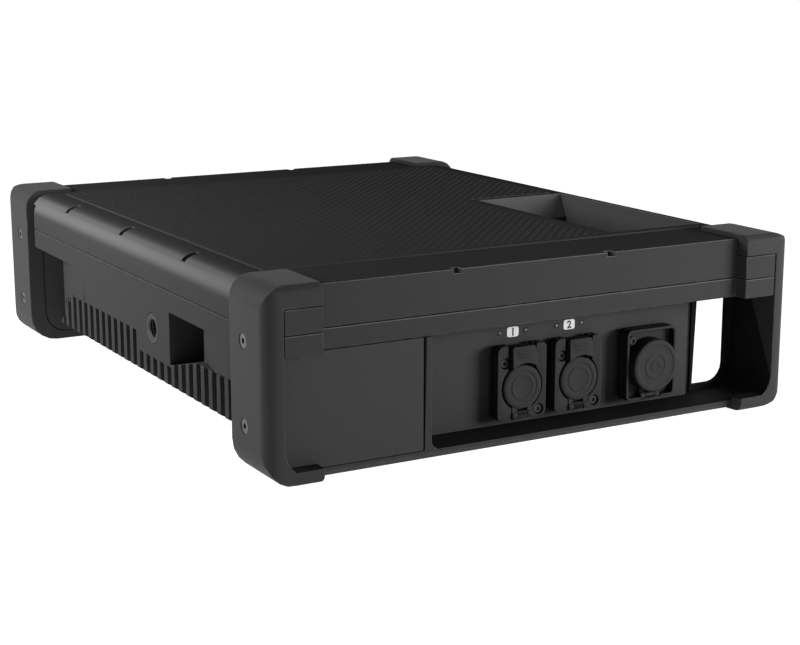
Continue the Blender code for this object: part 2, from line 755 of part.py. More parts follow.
def pad_outline(margin=0.0):
    """The grip pad seen from above, with the handle's scoop left free at its right edge."""
    x, y = HALF_WIDTH - PAD_MARGIN + margin, HALF_DEPTH - PAD_END + margin
    scoop_x = BODY_RIGHT - SCOOP_SLOPE_RUN - SCOOP_LIP_RUN - PAD_SCOOP_MARGIN + margin
    scoop_low = from_face(FRONT, SCOOP_PLACE - PAD_SCOOP_MARGIN) + margin
    scoop_high = from_face(FRONT, SCOOP_PLACE + SCOOP_LENGTH + PAD_SCOOP_MARGIN) - margin
    return rounded(
        (
            (-x, -y, PAD_CORNER_RADIUS),
            (x, -y, PAD_CORNER_RADIUS),
            (x, scoop_low),
            (scoop_x, scoop_low, PAD_CORNER_RADIUS),
            (scoop_x, scoop_high, PAD_CORNER_RADIUS),
            (x, scoop_high),
            (x, y, PAD_CORNER_RADIUS),
            (-x, y, PAD_CORNER_RADIUS),
        )
    )


def top_pad():
    low = COVER_TOP - PAD_RECESS + GAP
    slab("top_pad", [pad_outline()], "z", low, low + PAD_THICKNESS, PAD_RUBBER)


def edge_notches():
    notches = []
    centre = (COVER_EDGE_RADIUS - BODY_HALF_WIDTH, COVER_TOP - COVER_EDGE_RADIUS)
    start, end = radians(NOTCH_START), radians(NOTCH_END)
    outline = arc_points(centre, COVER_EDGE_RADIUS - NOTCH_DEPTH, start, end)
    outline += arc_points(centre, COVER_EDGE_RADIUS + OVER, end, start)
    for index in range(SIDE_NOTCH_COUNT):
        y = from_face(FRONT, SIDE_NOTCH_FIRST + index * SIDE_NOTCH_PITCH)
        low, high = y - NOTCH_WIDTH / 2, y + NOTCH_WIDTH / 2
        notches.append(slab(f"side_notch_{index}", [outline], "y", low, high))
    for face in (FRONT, REAR):
        for place in END_NOTCH_PLACES:
            x = from_left(place)
            low = (x - NOTCH_WIDTH / 2, from_face(face, FACE_RECESS - OVER), COVER_TOP - NOTCH_DEPTH)
            high = (x + NOTCH_WIDTH / 2, from_face(face, FACE_RECESS + END_NOTCH_REACH), COVER_TOP + OVER)
            notches.append(box(f"end_notch_{face}_{place * 1000:.0f}", low, high))
    return gather("edge_notches", notches)


def chassis_ends():
    """What the tray adds inside each end frame: a compartment, and the sides of the body."""
    pieces = []
    behind_panel = PANEL_RECESS + PANEL_THICKNESS + GAP
    behind_fascia = FACE_RECESS + FASCIA_THICKNESS + GAP
    compartment_right = from_left(MULLION_PLACE) - GAP
    for face in (FRONT, REAR):
        root = from_face(face, FRAME_DEPTH + OVER)
        outline = rounded(
            (
                (NECK_LEFT, RIM_BOTTOM + OVER),
                (NECK_LEFT, CHASSIS_BOTTOM, FRAME_INNER_RADIUS),
                (compartment_right, CHASSIS_BOTTOM),
                (compartment_right, RIM_BOTTOM + OVER),
            )
        )
        pieces.append(slab(f"compartment_{face}", [outline], "y", root, from_face(face, behind_fascia)))
        near, chamfer = from_face(face, behind_panel), PANEL_CHAMFER - PANEL_THICKNESS / 2
        plan = [
            (compartment_right - OVER, root),
            (compartment_right - OVER, near),
            (END_RIGHT - chamfer, near),
            (END_RIGHT, from_face(face, behind_panel + chamfer)),
            (END_RIGHT, root),
        ]
        pieces.append(slab(f"body_end_{face}", [plan], "z", CHASSIS_BOTTOM + GAP / 2, RIM_BOTTOM + OVER))
    return pieces


def cavity(name):
    """The room inside the tray and the rim, open to the heatsink, the cover and the panels."""
    left, floor = HEATSINK_THICKNESS - BODY_HALF_WIDTH, CHASSIS_BOTTOM + CHASSIS_FLOOR
    right, top = BODY_RIGHT - SIDE_WALL, PARTING_HEIGHT + OVER
    reach = HALF_DEPTH - FRAME_DEPTH + OVER
    room = box(name, (left, -reach, floor), (right, reach, top))
    opening_reach, end_right = HALF_DEPTH - PANEL_RECESS + OVER, END_RIGHT - SIDE_WALL - OVER
    low = (from_left(WINDOW_LEFT) + COVER_WALL, -opening_reach, floor + GAP)
    join(room, box(name + "_panel_opening", low, (end_right, opening_reach, RIM_BOTTOM - COVER_WALL)))
    for face in (FRONT, REAR):
        low = (NECK_LEFT + POST_WALL, from_face(face, FRAME_DEPTH - OVER / 2), floor + 2 * GAP)
        tip = from_face(face, FACE_RECESS + FASCIA_THICKNESS - OVER)
        high = (from_left(MULLION_PLACE) - COVER_WALL, tip, RIM_BOTTOM - COVER_WALL - GAP)
        join(room, box(f"{name}_compartment_{face}", low, high))
    return room


def heatsink_room(name, reach):
    """Keeps the heatsink's place free between the end frames, up to a distance from the left side."""
    y = BODY_HALF_DEPTH + GAP
    return box(name, (-WIDTH, -y, -OVER), (reach + GAP - BODY_HALF_WIDTH, y, HEIGHT))


def slot_section(top):
    """Section of one cooling slot, open at the side and at the sloping bottom edge."""
    side, under = -BODY_HALF_WIDTH, CHASSIS_BOTTOM - OVER
    return [
        (side - OVER, top),
        (side, top),
        (side + SLOT_DEPTH, top - SLOT_DEPTH),
        (side + BILGE_RUN + SLOT_WIDTH, under),
        (side - OVER, under),
    ]


def cooling_slots():
    """Slots along the left side, kept low under the boss of the clamp point."""
    room = DEPTH - 2 * (FRAME_DEPTH + SLOT_MARGIN)
    count = int((room + SLOT_PITCH - SLOT_WIDTH) / SLOT_PITCH)
    first = -(count - 1) * SLOT_PITCH / 2
    boss = from_face(FRONT, CLAMP_PLACE)
    slots = []
    for index in range(count):
        y = first + index * SLOT_PITCH
        under_boss = abs(y - boss) < (BOSS_WIDTH + SLOT_WIDTH) / 2
        outline = slot_section(BOSS_BOTTOM if under_boss else SLOT_TOP)
        slots.append(slab(f"cooling_slot_{index}", [outline], "y", y - SLOT_WIDTH / 2, y + SLOT_WIDTH / 2))
    return gather("cooling_slots", slots)


def hand_pocket(name, start, end, sill):
    """A pocket that sinks into the left side from its front end; sill lists its lower edge."""
    side, length = -BODY_HALF_WIDTH, end - start
    floor = [
        (side + POCKET_DEPTH * (1 - cos(step * pi / 2 / POCKET_STEPS)), start + length * step / POCKET_STEPS)
        for step in range(POCKET_STEPS + 1)
    ]
    pocket = slab(name, [[(side - OVER, start), *floor, (side - OVER, end)]], "z", -OVER, HEIGHT)
    top = RIM_BOTTOM - POCKET_DROP
    view = [(end + OVER, top), (start - OVER, top), *sill]
    trim(pocket, slab(name + "_view", [view], "x", -WIDTH, 0))
    return pocket


def side_pockets():
    """The front pocket ends at the clamp point's boss, and the rear one at the rear frame."""
    start = from_face(FRONT, FRONT_POCKET_PLACE)
    end = from_face(FRONT, CLAMP_PLACE - BOSS_WIDTH / 2)
    sill = [(start - OVER, POCKET_SILL), ((start + end) / 2, POCKET_SILL), (end + OVER, BOSS_BOTTOM)]
    front = hand_pocket("front_pocket", start, end, sill)
    start, end = from_face(FRONT, REAR_POCKET_PLACE), from_face(REAR, FRAME_DEPTH - GAP)
    middle = (start + end) / 2
    sill = [(start - OVER, POCKET_SILL), (middle - POCKET_DEPTH, POCKET_SILL)]
    sill += [(middle + POCKET_DEPTH, 0), (end + OVER, 0)]
    return [front, hand_pocket("rear_pocket", start, end, sill)]


def heatsink():
    """The finned left side of the body, with the foot that it is screwed down by."""
    inner, foot = HEATSINK_THICKNESS - BODY_HALF_WIDTH, HEATSINK_FOOT - BODY_HALF_WIDTH
    high, floor = PARTING_HEIGHT - GAP / 2, CHASSIS_BOTTOM + CHASSIS_FLOOR
    section = [
        (-BODY_HALF_WIDTH, high),
        (-BODY_HALF_WIDTH, SIDE_BOTTOM),
        (BILGE_RUN - BODY_HALF_WIDTH, CHASSIS_BOTTOM),
        (foot, CHASSIS_BOTTOM),
        (foot, floor),
        (inner, floor + HEATSINK_FOOT_RISE),
        (inner, high),
    ]
    sink = slab("heatsink", [section], "y", -BODY_HALF_DEPTH, BODY_HALF_DEPTH, COATED)
    cut(sink, *side_pockets(), cooling_slots(), side_grooves("heatsink", -OVER, HEIGHT))
    y, z = from_face(FRONT, CLAMP_PLACE), CLAMP_HEIGHT
    bottom, mouth = (INSERT_LENGTH + GAP - BODY_HALF_WIDTH, y, z), (-BODY_HALF_WIDTH - OVER, y, z)
    cut(sink, drum("insert_bore", INSERT_RADIUS + GAP, bottom, mouth, ROUND_SIDES))


def chassis_tray():
    """The floor, the right wall, and what carries the panels inside the end frames."""
    left = HEATSINK_FOOT - OVER - BODY_HALF_WIDTH
    section = [(left, CHASSIS_BOTTOM), (BODY_RIGHT, CHASSIS_BOTTOM)]
    section += [(BODY_RIGHT, RIM_BOTTOM + OVER), (left, RIM_BOTTOM + OVER)]
    tray = slab("chassis_tray", [section], "y", -BODY_HALF_DEPTH, BODY_HALF_DEPTH, COATED)
    join(tray, *chassis_ends())
    cut(tray, cavity("tray_cavity"), heatsink_room("tray_heatsink_room", HEATSINK_FOOT))
    cut(tray, box("tray_top", (-WIDTH, -DEPTH, RIM_BOTTOM - GAP), (WIDTH, DEPTH, HEIGHT)))
    join(tray, standoffs())
    cut(tray, tray_holes())


def handle_rim():
    """The rim under the cover, whose right side is the carrying handle."""
    high, left = PARTING_HEIGHT - GAP / 2, HEATSINK_THICKNESS - OVER - BODY_HALF_WIDTH
    low, tip = (left, -BODY_HALF_DEPTH, RIM_BOTTOM), (BODY_HALF_WIDTH, BODY_HALF_DEPTH, high)
    rim = box("handle_rim", low, tip, COATED)
    join(rim, *rim_ends("rim", RIM_BOTTOM, high, high))
    cut(rim, *end_faces("rim", RIM_BOTTOM, high))
    room = cavity("rim_cavity")
    cut(room, scoop("rim_scoop_skin", COVER_WALL))
    cut(rim, room, scoop("rim_scoop"), heatsink_room("rim_heatsink_room", HEATSINK_THICKNESS))
    cut(rim, side_grooves("rim", -OVER, HEIGHT))
    cut(rim, gather("rim_holes", frame_screw_holes(FRAME_SCREW_HEIGHTS[1])))


def standoffs():
    """The bosses that carry the main board."""
    floor, bosses = CHASSIS_BOTTOM + CHASSIS_FLOOR, []
    for index, (x, y) in enumerate(standoff_places()):
        foot, head = (x, y, floor - CHASSIS_FLOOR / 2), (x, y, floor + STANDOFF_HEIGHT)
        bosses.append(drum(f"standoff_{index}", STANDOFF_RADIUS, foot, head, 10))
    return gather("standoffs", bosses)


def frame_screw_holes(height):
    """Blind holes for the frames' screws at one height."""
    holes = []
    for face in (FRONT, REAR):
        for side in (-1, 1):
            if height in frame_screw_places(side):
                y = from_face(face, FRAME_SCREW_PLACE)
                start = (side * (HALF_WIDTH - FRAME_WALL + OVER), y, height)
                end = (side * (HALF_WIDTH - FRAME_SCREW_LENGTH - 2 * GAP), y, height)
                name = f"frame_screw_hole_{face}_{side}"
                holes.append(drum(name, FRAME_SCREW_RADIUS + GAP, end, start, 6))
    return holes


def tray_holes():
    """Blind holes for the board's screws and the frames' lower screws."""
    holes = frame_screw_holes(FRAME_SCREW_HEIGHTS[0])
    head = CHASSIS_BOTTOM + CHASSIS_FLOOR + STANDOFF_HEIGHT
    for index, (x, y) in enumerate(standoff_places()):
        foot, top = (x, y, head - BOARD_SCREW_LENGTH), (x, y, head + OVER)
        holes.append(drum(f"standoff_hole_{index}", SCREW_RADIUS + GAP, foot, top, 6))
    return gather("tray_holes", holes)


def clamp_insert():
    place = (-BODY_HALF_WIDTH, from_face(FRONT, CLAMP_PLACE), CLAMP_HEIGHT)
    profile = (
        (0, -THREAD_LENGTH),
        (THREAD_RADIUS, -THREAD_LENGTH),
        (THREAD_RADIUS, 0),
        (INSERT_RADIUS, 0),
        (INSERT_RADIUS, -INSERT_LENGTH),
        (0, -INSERT_LENGTH),
    )
    turned("clamp_insert", profile, (-1, 0, 0), place, ROUND_SIDES, INSERT_STEEL)


def fascia_outline():
    left, right = NECK_LEFT, from_left(MULLION_PLACE - FASCIA_SLIT)
    low, high = CHASSIS_BOTTOM, RIM_BOTTOM - GAP
    return rounded(((left, low, FRAME_INNER_RADIUS), (right, low), (right, high), (left, high)))


def fascia(name, face, holes=()):
    near, far = from_face(face, FACE_RECESS), from_face(face, FACE_RECESS + FASCIA_THICKNESS)
    return slab(name, [fascia_outline(), *holes], "y", near, far, PANEL_BLACK)


def connector_panel(name, face):
    """The recessed panel: a sheet whose right end is chamfered and returned along the body."""
    near, far = from_face(face, PANEL_RECESS), from_face(face, PANEL_RECESS + PANEL_THICKNESS)
    left, right = from_left(WINDOW_LEFT) + GAP, BODY_RIGHT
    bend = PANEL_THICKNESS * tan(pi / 8)
    returned = from_face(face, PANEL_RECESS + PANEL_RETURN)
    outline = [
        (left, near),
        (right - PANEL_CHAMFER, near),
        (right, from_face(face, PANEL_RECESS + PANEL_CHAMFER)),
        (right, returned),
        (right - PANEL_THICKNESS, returned),
        (right - PANEL_THICKNESS, from_face(face, PANEL_RECESS + PANEL_CHAMFER + bend)),
        (right - PANEL_CHAMFER - bend, far),
        (left, far),
    ]
    return slab(name, [outline], "z", CHASSIS_BOTTOM, RIM_BOTTOM - GAP, PANEL_BLACK)


def through(name, face, radius, x, z, near, far, sides=12):
    """A round cutter square to the front or rear, between two distances from that face."""
    return drum(name, radius, (x, from_face(face, near), z), (x, from_face(face, far), z), sides)


class Port:
    """One socket of the common panel size, and where its pieces lie."""

    def __init__(self, name, face, place, height):
        self.name, self.face = name, face
        self.x, self.z = from_right(place), height
        self.flange_back = PANEL_RECESS - GAP
        self.flange_front = self.flange_back - FLANGE_THICKNESS
        self.frame_back = self.flange_front - GAP
        self.frame_front = self.frame_back - LID_FRAME_THICKNESS

    def at(self, dx, distance, dz):
        """A point right of, in from the face, and above the socket's centre, as its user sees it."""
        return (self.x - self.face * dx, from_face(self.face, distance), self.z + dz)

    def screw_places(self):
        return (("upper", -PORT_SCREW_X, PORT_SCREW_Z), ("lower", PORT_SCREW_X, -PORT_SCREW_Z))

    def plate(self, name, loops, near, far, look):
        """An outline drawn about the socket's centre, extruded between two distances."""
        placed = [[(self.x - self.face * u, self.z + v) for u, v in loop] for loop in loops]
        y = [from_face(self.face, distance) for distance in (near, far)]
        return slab(f"{self.name}_{name}", placed, "y", min(y), max(y), look)

    def turn(self, name, profile, sides, look):
        """A turned piece on the socket's axis; its heights are distances out from the face."""
        heights = [(radius, -distance) for radius, distance in profile]
        origin = (self.x, from_face(self.face, 0.0), self.z)
        return turned(f"{self.name}_{name}", heights, (0, self.face, 0), origin, sides, look)

    def cut_screw_holes(self, target, near, far):
        for which, dx, dz in self.screw_places():
            start, end = self.at(dx, near, dz), self.at(dx, far, dz)
            cut(target, drum(f"{target.name}_{which}_hole", SCREW_RADIUS + GAP, start, end, 6))


def port_screws(port, seat):
    for which, dx, dz in port.screw_places():
        head, shank = SCREW_HEAD_RADIUS, SCREW_RADIUS
        profile = (
            (0, SCREW_HEAD_HEIGHT),
            (head, SCREW_HEAD_HEIGHT),
            (head, 0),
            (shank, 0),
            (shank, -SCREW_LENGTH),
            (0, -SCREW_LENGTH),
        )
        name = f"{port.name}_{which}_screw"
        screw = turned(name, profile, (0, port.face, 0), port.at(dx, seat - GAP, dz), 10, SCREW_STEEL)
        start = port.at(dx, seat - GAP - SCREW_HEAD_HEIGHT / 2, dz)
        end = port.at(dx, seat - 3 * SCREW_HEAD_HEIGHT, dz)
        cut(screw, drum(name + "_hex", SCREW_HEX_RADIUS, start, end, 6))


def hinge_lug(port, name, drop, out):
    """The lug and pin in the middle of a lid's hinge, which grow from the lid's frame."""
    axis, half = port.frame_front - out, LUG_HALF_WIDTH
    inset, rise = half - GAP / 2, LUG_HALF_HEIGHT
    low = port.at(-inset, port.frame_front + GAP, -drop - rise)
    lug = box(f"{name}_lug", low, port.at(inset, axis, -drop + rise))
    start, end = port.at(-half, axis, -drop), port.at(half, axis, -drop)
    knuckle = drum(f"{name}_lug_end", KNUCKLE_RADIUS, start, end, KNUCKLE_SIDES)
    reach = half + GAP + LEG_WIDTH
    pin = drum(f"{name}_pin", PIN_RADIUS, port.at(-reach, axis, -drop), port.at(reach, axis, -drop), 6)
    return lug, knuckle, pin


def add_lid_legs(port, lid, drop, out, top):
    """Two legs that carry a lid on its hinge pin."""
    axis = port.frame_front - out
    inner = LUG_HALF_WIDTH + GAP
    for side in (-1, 1):
        near, far = side * inner, side * (inner + LEG_WIDTH)
        name, inset = f"{lid.name}_leg_{side}", side * GAP / 2
        back = port.frame_front - 2 * GAP
        low = port.at(near + inset, back, -drop)
        leg = box(name, low, port.at(far - inset, back - LEG_THICKNESS, top))
        start, end = port.at(near, axis, -drop), port.at(far, axis, -drop)
        join(lid, leg, drum(name + "_knuckle", KNUCKLE_RADIUS, start, end, KNUCKLE_SIDES))
    reach = inner + LEG_WIDTH + OVER
    start, end = port.at(-reach, axis, -drop), port.at(reach, axis, -drop)
    cut(lid, drum(f"{lid.name}_bore", PIN_RADIUS + GAP, start, end, 6))
    hang_on(lid, port.at(0, axis, -drop))


def lid_frame(port, width, top, bottom, hole, notch=0.0):
    """The rubber frame in front of a socket's flange, open in the middle for its collar."""
    u = width / 2
    outline = rectangle(-u, -bottom, u, top, LID_FRAME_RADIUS)
    frame = port.plate("lid_frame", [outline], port.frame_front, port.frame_back, SEAL_RUBBER)
    front, back = port.frame_front - OVER, port.frame_back + OVER
    profile = ((0, front), (hole, front), (hole, back), (0, back))
    cut(frame, port.turn("lid_frame_hole", profile, ROUND_SIDES, SEAL_RUBBER))
    if notch:
        low, high = port.at(-notch, front, NOTCH_FLOOR), port.at(notch, back, top + OVER)
        cut(frame, box(f"{port.name}_frame_notch", low, high))
    port.cut_screw_holes(frame, front, back)
    return frame


def flange(port, hole, notch=0.0):
    """A socket's flange, open for the socket's well and, at the top, for its latch."""
    u, v = FLANGE_WIDTH / 2, FLANGE_HEIGHT / 2
    corners = [(-u, -v, FLANGE_RADIUS), (u, -v, FLANGE_RADIUS), (u, v, FLANGE_RADIUS)]
    if notch:
        floor = LATCH_BOTTOM - GAP
        corners += [(notch, v), (notch, floor), (-notch, floor), (-notch, v)]
    corners += [(-u, v, FLANGE_RADIUS)]
    loops = [rounded(corners, 2), circle((0, 0), hole, ROUND_SIDES)]
    return port.plate("flange", loops, port.flange_front, port.flange_back, SOCKET_PLASTIC)


def latched_port(name, face, place, make_socket):
    """A network or data port: socket, lid frame, hinged lid, sprung latch and two screws."""
    port = Port(name, face, place, PORT_HEIGHT)
    socket = make_socket(port)
    notch = LATCH_WIDTH / 2 + GAP
    join(socket, flange(port, (WELL_RADIUS + COLLAR_RADIUS) / 2, notch))
    port.cut_screw_holes(socket, port.flange_front - OVER, port.flange_back + OVER)

    frame = lid_frame(port, LID_FRAME_WIDTH, LID_FRAME_TOP, LID_FRAME_BOTTOM, COLLAR_RADIUS + GAP, notch)
    join(frame, *hinge_lug(port, name, HINGE_DROP, HINGE_OUT))

    back = port.frame_front - GAP
    profile = (
        (0, back - LID_THICKNESS),
        (LID_FACE_RADIUS, back - LID_THICKNESS),
        (LID_RADIUS, back - LID_EDGE),
        (LID_RADIUS, back),
        (PLUG_RADIUS, back),
        (PLUG_RADIUS, back + PLUG_LENGTH),
        (0, back + PLUG_LENGTH),
    )
    lid = port.turn("lid", profile, ROUND_SIDES, SEAL_RUBBER)
    add_lid_legs(port, lid, HINGE_DROP, HINGE_OUT, -LID_LEG_TOP)

    half = LATCH_WIDTH / 2
    outline = rectangle(-half, LATCH_BOTTOM, half, LATCH_TOP, LATCH_RADIUS)
    near, far = port.frame_front - LATCH_OUT, port.frame_front + LATCH_IN
    latch = port.plate("latch", [outline], near, far, SOCKET_PLASTIC)
    hang_on(latch, port.at(0, port.frame_front, (LATCH_BOTTOM + LATCH_TOP) / 2))
    port_screws(port, port.frame_front)
    return port


def network_socket(port):
    """A round well with a rectangular jack at its bottom."""
    mouth, end = port.frame_front, port.flange_back + BARREL_LENGTH
    profile = (
        (0, mouth + WELL_DEPTH),
        (WELL_RADIUS, mouth + WELL_DEPTH),
        (WELL_RADIUS, mouth),
        (COLLAR_RADIUS, mouth),
        (COLLAR_RADIUS, port.flange_back - GAP),
        (BARREL_RADIUS, port.flange_back - GAP),
        (BARREL_RADIUS, end),
        (0, end),
    )
    socket = port.turn("socket", profile, ROUND_SIDES, SOCKET_PLASTIC)
    low = port.at(-JACK_WIDTH / 2, mouth + WELL_DEPTH - OVER, -JACK_HEIGHT / 2)
    high = port.at(JACK_WIDTH / 2, mouth + WELL_DEPTH + JACK_DEPTH, JACK_HEIGHT / 2)
    cut(socket, box(f"{port.name}_jack", low, high))
    return socket


def data_socket(port):
    """A round insert with five contacts on a circle, inside the collar."""
    mouth, end = port.frame_front, port.flange_back + BARREL_LENGTH
    face = mouth + CONTACT_FACE
    profile = (
        (0, face),
        (WELL_RADIUS, face),
        (WELL_RADIUS, mouth),
        (COLLAR_RADIUS, mouth),
        (COLLAR_RADIUS, port.flange_back - GAP),
        (BARREL_RADIUS, port.flange_back - GAP),
        (BARREL_RADIUS, end),
        (0, end),
    )
    socket = port.turn("socket", profile, ROUND_SIDES, SOCKET_PLASTIC)
    for index in range(CONTACT_COUNT):
        angle = radians(30) + index * radians(60)
        dx, dz = CONTACT_CIRCLE * cos(angle), CONTACT_CIRCLE * sin(angle)
        start, end_point = port.at(dx, face - OVER, dz), port.at(dx, face + CONTACT_DEPTH, dz)
        cut(socket, drum(f"{port.name}_contact_{index}", CONTACT_RADIUS, start, end_point, 6))
    return socket


def mains_inlet():
    """The locking mains inlet under its domed lid."""
    port = Port("mains", FRONT, INLET_PLACE, INLET_HEIGHT)
    mouth, end = port.frame_front - INLET_COLLAR_OUT, port.flange_back + BARREL_LENGTH
    bottom = mouth + INLET_WELL_DEPTH
    profile = (
        (0, mouth + INLET_CORE_SINK),
        (INLET_CORE_RADIUS, mouth + INLET_CORE_SINK),
        (INLET_CORE_RADIUS, bottom),
        (INLET_WELL_RADIUS, bottom),
        (INLET_WELL_RADIUS, mouth),
        (INLET_COLLAR_RADIUS, mouth),
        (INLET_COLLAR_RADIUS, port.flange_back - GAP),
        (BARREL_RADIUS, port.flange_back - GAP),
        (BARREL_RADIUS, end),
        (0, end),
    )
    inlet = port.turn("inlet", profile, ROUND_SIDES, SOCKET_PLASTIC)
    join(inlet, flange(port, (INLET_WELL_RADIUS + INLET_COLLAR_RADIUS) / 2))
    port.cut_screw_holes(inlet, port.flange_front - OVER, port.flange_back + OVER)

    frame = lid_frame(
        port, INLET_FRAME_WIDTH, INLET_FRAME_TOP, INLET_FRAME_BOTTOM, INLET_COLLAR_RADIUS + GAP
    )
    join(frame, *hinge_lug(port, "mains", INLET_HINGE_DROP, INLET_HINGE_OUT))

    inner = INLET_LID_RADIUS - INLET_LID_WALL
    back, room = port.frame_front - GAP, mouth - GAP
    crown = room - INLET_LID_FACE
    profile = (
        (0, crown),
        *((radius, crown + drop) for radius, drop in INLET_LID_CROWN),
        (INLET_LID_RADIUS, back),
        (inner, back),
        (inner, room),
        (0, room),
    )
    lid = port.turn("lid", profile, ROUND_SIDES, SEAL_RUBBER)
    add_lid_legs(port, lid, INLET_HINGE_DROP, INLET_HINGE_OUT, -inner)
    port_screws(port, port.frame_front)
    return port


def cut_panel_for(panel, port):
    """A panel's holes for one socket: its barrel and its two screws."""
    near, far = PANEL_RECESS - OVER, PANEL_RECESS + PANEL_THICKNESS + OVER
    name = f"{port.name}_panel_hole"
    cut(panel, through(name, port.face, BARREL_RADIUS + GAP, port.x, port.z, near, far, ROUND_SIDES))
    for which, dx, dz in port.screw_places():
        x, _, z = port.at(dx, 0, dz)
        cut(panel, through(f"{name}_{which}", port.face, SCREW_RADIUS + GAP, x, z, near, far, 6))


def light_pipe(panel, port):
    """A fork of two light pipes that show at either side of the port's number."""
    start, end = PANEL_RECESS, PANEL_RECESS + LIGHT_LENGTH
    name, half = f"{port.name}_light_pipe", LIGHT_BAR / 2
    low = (port.x - LIGHT_OFFSET - half, from_face(port.face, end), LIGHT_HEIGHT - half)
    high = (port.x + LIGHT_OFFSET + half, from_face(port.face, end - LIGHT_BAR), LIGHT_HEIGHT + half)
    pipe = box(name, low, high, CLEAR)
    for side in (-1, 1):
        x = port.x + side * LIGHT_OFFSET
        join(pipe, through(f"{name}_{side}", port.face, LIGHT_RADIUS, x, LIGHT_HEIGHT, start, end - half, 8))
        near, far = start - OVER, PANEL_RECESS + PANEL_THICKNESS + OVER
        hole = f"{name}_hole_{side}"
        cut(panel, through(hole, port.face, LIGHT_RADIUS + GAP, x, LIGHT_HEIGHT, near, far, 8))


def rear_controls():
    """The display and the jog wheel, behind and in front of the rear fascia."""
    x, z = from_left(WINDOW_PLACE), RIM_BOTTOM - WINDOW_DROP
    u, v = WINDOW_WIDTH / 2, WINDOW_HEIGHT / 2
    aperture = rectangle(x - u - GAP, z - v - GAP, x + u + GAP, z + v + GAP, WINDOW_RADIUS)
    jog_x, bore = from_left(JOG_PLACE), SHAFT_RADIUS + GAP
    shaft_hole = circle((jog_x, JOG_HEIGHT), bore, ROUND_SIDES)
    fascia("rear_fascia", REAR, [aperture, shaft_hole])
    back = FACE_RECESS + FASCIA_THICKNESS
    near, far = (from_face(REAR, d) for d in (back - GAP / 2 - WINDOW_THICKNESS, back - GAP / 2))
    outline = rectangle(x - u, z - v, x + u, z + v, WINDOW_RADIUS)
    slab("display_window", [outline], "y", far, near, CLEAR)
    m = MODULE_MARGIN
    low = (x - u - m, from_face(REAR, back + GAP), z - v - m)
    high = (x + u + m, from_face(REAR, back + GAP + MODULE_THICKNESS), z + v + m)
    box("display_module", low, high, BOARD_GREEN)

    half, room = ENCODER_SIZE / 2, back + GAP
    low = (jog_x - half, from_face(REAR, room), JOG_HEIGHT - half)
    high = (jog_x + half, from_face(REAR, room + ENCODER_DEPTH), JOG_HEIGHT + half)
    encoder = box("encoder_body", low, high, SOCKET_PLASTIC)
    shaft_end = back + SHAFT_IN
    bore_end = shaft_end + PUSH_TRAVEL + GAP
    cut(encoder, through("encoder_bore", REAR, bore, jog_x, JOG_HEIGHT, back - OVER, bore_end, ROUND_SIDES))

    wheel_back = FACE_RECESS - JOG_CLEARANCE
    wheel_front = wheel_back - JOG_OUT + JOG_CLEARANCE
    shaft_front = wheel_back - JOG_BORE_DEPTH + GAP
    ends = (shaft_front, shaft_end)
    shaft = through("encoder_shaft", REAR, SHAFT_RADIUS, jog_x, JOG_HEIGHT, *ends, ROUND_SIDES)
    shaft.data.materials[0] = INSERT_STEEL
    hang_on(shaft, (jog_x, from_face(REAR, FACE_RECESS), JOG_HEIGHT))
    profile = (
        (0, -wheel_front),
        (JOG_FACE_RADIUS, -wheel_front),
        (JOG_RADIUS, -wheel_front - JOG_EDGE),
        (JOG_RADIUS, -wheel_back),
        (bore, -wheel_back),
        (bore, JOG_BORE_DEPTH - wheel_back),
        (0, JOG_BORE_DEPTH - wheel_back),
    )
    origin = (jog_x, from_face(REAR, 0.0), JOG_HEIGHT)
    wheel = turned("jog_wheel", profile, (0, REAR, 0), origin, ROUND_SIDES, SOCKET_PLASTIC)
    hang_on(wheel, (jog_x, from_face(REAR, wheel_back), JOG_HEIGHT))


def board_corners():
    left = from_left(SUPPLY_LOW_X + SUPPLY_WIDTH + BOARD_SUPPLY_CLEARANCE)
    right = BODY_RIGHT - SIDE_WALL - BOARD_WALL_CLEARANCE
    return (left, from_face(FRONT, BOARD_FRONT_PLACE)), (right, from_face(REAR, BOARD_REAR_PLACE))


def standoff_places():
    (left, front), (right, rear) = board_corners()
    inset = STANDOFF_INSET
    return [(x, y) for x in (left + inset, right - inset) for y in (front + inset, rear - inset)]


